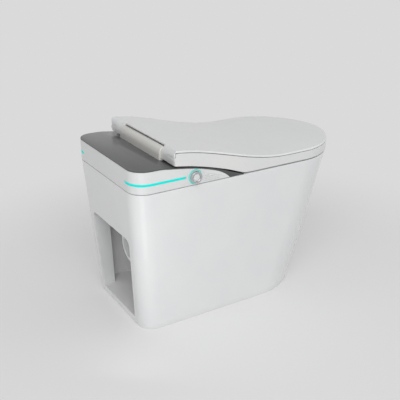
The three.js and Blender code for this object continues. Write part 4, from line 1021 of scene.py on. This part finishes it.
@dataclass
class Lid:
    """The lid: a thin crowned cover with a soft edge and a rolled rear."""

    lower: float = 1.0
    upper: float = 5.8
    thickness: float = 4.2
    edge: float = 2.4
    skirt: float = 498.4
    arm_rear: float = REAR + 0.05
    arm_end: float = 149.8
    arm_foot: float = 477.4
    arm_round: float = 9.6
    notch_radius: float = 22.8
    wall: float = 2.8
    crown: float = 2.6
    crown_run: Pair = (240.0, 260.0)
    crown_reach: float = 70.0

    def top(self, depth: float, inset: float) -> float:
        """Height of the upper face."""
        start, length = self.crown_run
        inwards = 1 - (1 - clamp(inset / self.crown_reach)) ** 2
        return seam_at(depth) + self.upper + self.crown * ease((depth - start) / length) * inwards

    def arm(self, side: int) -> Piece:
        """The lid's part of one hinge arm, flush with the rolled rear and rounded about the pin."""
        centre_d, centre_z = HINGE
        rear, foot = self.arm_rear, self.arm_foot
        rings = []
        for step in range(7):
            x = side * mix(HALF_NOTCH, self.arm_end, step / 6)
            ring = [(x, centre_d, foot), (x, 114.4, foot), (x, 113.3, foot + 0.5), (x, rear, foot + 1.6)]
            ring += [rolled((x, rear, z), 0.05) for z in (482, 486, 490, 493, 496, 499, 502, 505, 508)]
            ring += [(x, 123.0, 513.4), (x, 129.0, 513.0)]
            for turn in range(0, 90, 15):
                ahead, down = cos(radians(turn)), sin(radians(turn))
                ring.append((x, centre_d + self.arm_round * ahead, centre_z - self.arm_round * down))
            rings.append(ring)
        return loft(rings)

    def build(self) -> Piece:
        """The lid as one mesh."""
        rings: list[Ring] = []

        def add(inset: float, height: Callable[[float, float], float], keep: float, shift: float = 0.0) -> None:
            """Adds a ring at an inset, kept inside the rear edge and shifted back along it."""
            ring = []
            for x, depth in SEAT_OUTLINE.ring(inset):
                at_rear = depth < REAR + inset + 0.5 and abs(x) < HALF_SEAT - inset - 0.5
                place = depth - shift if at_rear else depth
                ring.append(rolled((x, place, height(x, place)), keep))
            rings.append(ring)

        def low(x: float, depth: float) -> float:
            """Height of the lid's foot."""
            return self.skirt if depth < REAR + 2.9 else seam_at(depth) + self.lower

        def ceiling(x: float, depth: float) -> float:
            """Height of the lid's hollow underside."""
            return seam_at(depth) + self.upper - self.thickness

        for inset in (HALF_SEAT, 180, 165, 150, 130, 110, 90, 70, 50, 30, 20, 12, 8):
            add(inset, ceiling, self.wall)
        for share in (1, 0.75, 0.5, 0.25, 0):
            add(5, lambda x, d, s=share: mix(low(x, d), ceiling(x, d), s), self.wall, 2.2)
        add(0.5, low, 0.4)
        for share in (0.02, 0.15, 0.35, 0.55, 0.75, 0.9, 1):
            add(0, lambda x, d, s=share: mix(low(x, d), self.top(d, 0) - self.edge, s), 0)
        for drop, inset in rounding(self.edge, 6)[1:]:
            add(inset, lambda x, d, low=drop, i=inset: self.top(d, i) - low, 0)
        for inset in (3.4, 5, 7, 9.5, 12.5, 16, 20, 25, 31, 38, 46, 56, 68, 82, 98, 115, 132, 150, 168, 182):
            add(inset, lambda x, d, i=inset: self.top(d, i), 0)
        add(HALF_SEAT, lambda x, d: self.top(d, HALF_SEAT), 0)
        lid = loft(rings, caps=False)
        work(lid, Join.ADD, [self.arm(side) for side in (-1, 1)])
        notch = slab((-HALF_NOTCH, HALF_NOTCH), (0, 126.8), (400, 540))
        work(lid, Join.CUT, [notch, about_hinge(self.notch_radius, -HALF_NOTCH, HALF_NOTCH, 96)])
        work(lid, Join.CUT, [about_hinge(PIN_BORE, side * 100, side * HALF_SEAT) for side in (-1, 1)])
        return lid

    def dress(self, frame: dict) -> None:
        """Builds the lid and finishes its bumpers."""
        stand_for(self.build(), 40, "lid", "lid", LID_WHITE)
        for side in ("left", "right"):
            refinish(frame, f"lid_bumper_{side}", RUBBER)


UNDER_LINE = share_line(
    (REAR, 352), 419.2, 59.4,
    (0, 0.21, 0.44, 0.68, 0.84, 0.915, 1),
    (0.975, 0.835, 0.618, 0.335, 0.098, 0.018, 0),
)


@dataclass
class Seat:
    """The seat ring, with its tall rear and its flared opening."""

    gap: float = 1.1
    soft: float = 1.1
    rim: float = 6.0
    flare: float = 10.0
    rear_top: float = 498.2
    rear_round: float = 12.7
    arm_start: float = 150.1
    opening: Oval = Oval(462, 172, 112, 2.2)

    def top(self, depth: float) -> float:
        """Height of the upper face."""
        return seam_at(depth) - self.gap

    def tucked(self, point: Point) -> Point:
        """A point kept inside the seat's rear face, round about the pin, and under the lid's skirt."""
        x, depth, height = point
        centre_d, centre_z = HINGE
        if height > self.rear_top + 0.05:
            return rolled(point, 4.2)
        if depth < REAR + 3.2 and height > self.rear_top - 2.6:
            height = self.rear_top
        if depth < centre_d:
            reach = sqrt(max(0.0, self.rear_round**2 - (height - centre_z) ** 2))
            depth = max(depth, centre_d - reach)
        return rolled((x, depth, height), 0)

    def build(self) -> Piece:
        """The seat as one mesh."""
        plain = SEAT_OUTLINE.ring(0)
        rings: list[Ring] = []

        def outer(inset: float, height: Callable[[float], float]) -> None:
            """Adds a ring along the outline."""
            rings.append([self.tucked((x, d, height(d))) for x, d in SEAT_OUTLINE.ring(inset)])

        def inner(share: float, spread: float, height: Callable[[float], float]) -> None:
            """Adds a ring part of the way from the outline to the opening, drawn out by a spread."""
            ring = []
            for x, d in plain:
                to_x, to_d = self.opening.toward(x, d, spread)
                px, pd = mix(x, to_x, share), mix(d, to_d, share)
                ring.append(self.tucked((px, pd, height(pd))))
            rings.append(ring)

        for inset, lift in ((1.2, 0), (0.35, 0.35), (0, 1.2)):
            outer(inset, lambda d, lift=lift: UNDER_LINE.at(d) + lift)
        for step in range(1, 12):
            outer(0, lambda d, s=step / 12: mix(UNDER_LINE.at(d) + 1.2, self.top(d) - self.soft, s))
        for drop, inset in rounding(self.soft, 5):
            outer(inset, lambda d, drop=drop: self.top(d) - drop)
        for share in (0.06, 0.12, 0.2, 0.3, 0.4, 0.5, 0.6, 0.7, 0.8, 0.88):
            inner(share, self.flare, self.top)
        for spread, drop in rounding(self.rim, 6):
            inner(1, self.flare + spread, lambda d, drop=drop: self.top(d) - drop)
        for share in (0.25, 0.5, 0.75, 1):
            spread = self.flare * (1 - share)
            inner(1, spread, lambda d, s=share: mix(self.top(d) - self.rim, UNDER_LINE.at(d) + 1, s))
        inner(1, 0.4, lambda d: UNDER_LINE.at(d) + 0.2)
        for share in (0.96, 0.8, 0.6, 0.4, 0.2, 0.05):
            inner(share, 0.8, UNDER_LINE.at)
        rings.append(list(rings[0]))
        seat = loft(rings, caps=False)
        start = self.arm_start
        work(seat, Join.ADD, [about_hinge(8.3, side * start, side * 189.4, 48) for side in (-1, 1)])
        tools = [slab((-HALF_NOTCH, HALF_NOTCH), (0, 146), (380, 540))]
        tools.append(slab((-start, start), (0, 134.2), (380, 541)))
        tools += [about_hinge(PIN_BORE, side * 100, side * 186.6) for side in (-1, 1)]
        work(seat, Join.CUT, tools)
        return seat

    def dress(self, frame: dict) -> None:
        """Builds the seat and finishes its bumpers."""
        stand_for(self.build(), 38, "seat", "seat", SEAT_WHITE)
        for row in ("middle", "front"):
            for side in ("left", "right"):
                refinish(frame, f"seat_bumper_{row}_{side}", RUBBER)


@dataclass
class Inside:
    """The fittings under the panel and behind the bowl, which keep their shapes."""

    finishes: dict[Finish, str] = field(
        default_factory=lambda: {
            STEEL: "left_hinge_pin right_hinge_pin fan_motor power_supply left_fixing_bolt right_fixing_bolt",
            BLACK: "seat_damper lid_damper speaker rear_wand_motor front_wand_motor fan_impeller board_tray"
            " air_pump deodoriser_cartridge",
            FITTING_WHITE: "wand_cradle rear_wand_tip front_wand_tip dryer_duct dryer_flap fan_housing"
            " heater_tank inlet_valve flush_pump left_wing_nut right_wing_nut",
            CHROME: "rear_wand front_wand",
            BOARD: "control_board",
            BRASS: "valve_coil",
            RUBBER: "flush_pipe",
        }
    )

    def dress(self, frame: dict) -> None:
        """Gives each fitting its finish."""
        for finish, names in self.finishes.items():
            for name in names.split():
                refinish(frame, name, finish)


WHITE = (1.0, 1.0, 1.0, 1.0)


@dataclass
class Studio:
    """The floor, the light and the camera."""

    background: float = 0.701
    surround: float = 0.22
    eye: Point = (-1.5505, 1.0090, 1.0374)
    right: Point = (-0.5230, -0.8523, 0.0)
    up: Point = (0.32822, -0.20141, 0.92284)
    back: Point = (-0.78657, 0.48267, 0.38510)
    lens: float = 59.56

    @staticmethod
    def blend(tree: Tree, *sources: bpy.types.Node) -> bpy.types.NodeSocket:
        """Two shaders mixed by a share, given as the share's node, then the shaders'."""
        mixer = node(tree, "MixShader")
        for socket, source in zip(mixer.inputs, sources):
            tree.links.new(source.outputs[0], socket)
        return mixer.outputs[0]

    def floor(self) -> None:
        """A pale floor that fades into the background."""
        bpy.ops.object.select_all(action="DESELECT")
        bpy.ops.mesh.primitive_plane_add(size=40, location=(0, 0, -0.0005))
        floor = bpy.context.object
        floor.name = "floor"
        bpy.ops.object.transform_apply(location=True, rotation=False, scale=True)
        material = bpy.data.materials.new("studio_floor_painted")
        tree = empty_tree(material)
        place = node(tree, "TexCoord").outputs["Object"]
        far = node(tree, "VectorMath", {"operation": "LENGTH"}, Vector=place).outputs["Value"]
        reach = {"interpolation_type": "SMOOTHSTEP", "From Min": 0.45, "From Max": 1.2, "To Min": 0.35}
        fade = node(tree, "MapRange", reach, Value=far)
        paint = node(tree, "BsdfPrincipled", {"Base Color": to_linear("#f4f4f4"), "Roughness": 0.6})
        even = node(tree, "Emission", {"Color": WHITE, "Strength": self.background})
        node(tree, "OutputMaterial", Surface=self.blend(tree, fade, paint, even))
        floor.data.materials.append(material)

    def world(self) -> None:
        """An even surround, seen by the camera as the background."""
        world = bpy.data.worlds.new("studio")
        bpy.context.scene.world = world
        tree = empty_tree(world)
        rays = node(tree, "LightPath").outputs
        light = node(tree, "Background", {"Color": WHITE, "Strength": self.surround})
        seen = node(tree, "Background", {"Color": WHITE, "Strength": self.background})
        any_ray = rays["Is Camera Ray"]
        for kind in ("Glossy", "Transmission"):
            either = node(tree, "Math", {"operation": "MAXIMUM"})
            for socket, source in zip(either.inputs, (any_ray, rays[f"Is {kind} Ray"])):
                tree.links.new(source, socket)
            any_ray = either.outputs[0]
        node(tree, "OutputWorld", Surface=self.blend(tree, either, light, seen))

    def lamp(self, name: str, place: Point, size: Pair, power: float, target: Point = (0, 0, 0.3)) -> None:
        """A soft lamp.

        Args:
            name: its name.
            place: where it stands.
            size: its width and height.
            power: its power in watts.
            target: what it faces.
        """
        data = bpy.data.lights.new(name, "AREA")
        data.shape = "RECTANGLE"
        data.size, data.size_y = size
        data.energy = power
        lamp = bpy.data.objects.new(name, data)
        lamp.location = place
        lamp.visible_camera = False
        ahead = Vector(target) - Vector(place)
        lamp.rotation_euler = ahead.to_track_quat("-Z", "Y").to_euler()
        bpy.context.scene.collection.objects.link(lamp)

    def camera(self) -> None:
        """The camera, as the photograph was taken."""
        data = bpy.data.cameras.new("camera")
        data.lens = self.lens
        data.sensor_width = 36
        camera = bpy.data.objects.new("camera", data)
        turned = Matrix(list(zip(self.right, self.up, self.back)))
        camera.matrix_world = Matrix.Translation(self.eye) @ turned.to_4x4()
        bpy.context.scene.collection.objects.link(camera)
        bpy.context.scene.camera = camera

    def build(self) -> None:
        """Sets the whole studio up."""
        self.floor()
        self.world()
        self.lamp("key", (-3.2, 1.7, 3.3), (4.4, 4.4), 143)
        self.lamp("top", (0.3, -0.4, 3.6), (2.8, 2.8), 14)
        self.lamp("front", (-1.0, -3.2, 1.4), (2.4, 2.4), 12)
        self.lamp("strip", (-0.334, 0.463, 0.26), (0.13, 0.4), 0.105, (-0.17, 0.335, 0.26))
        self.camera()
        bpy.context.scene.view_settings.view_transform = "Standard"


def main() -> None:
    """Builds every sub-assembly in turn."""
    logging.basicConfig(level=logging.INFO, format="%(name)s: %(message)s")
    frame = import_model()
    Studio().build()
    CeramicBody().dress()
    for assembly in (Housing(), Knob(), Seat(), Lid(), Inside()):
        assembly.dress(frame)
    bpy.ops.object.select_all(action="DESELECT")


if __name__ == "__main__":
    main()
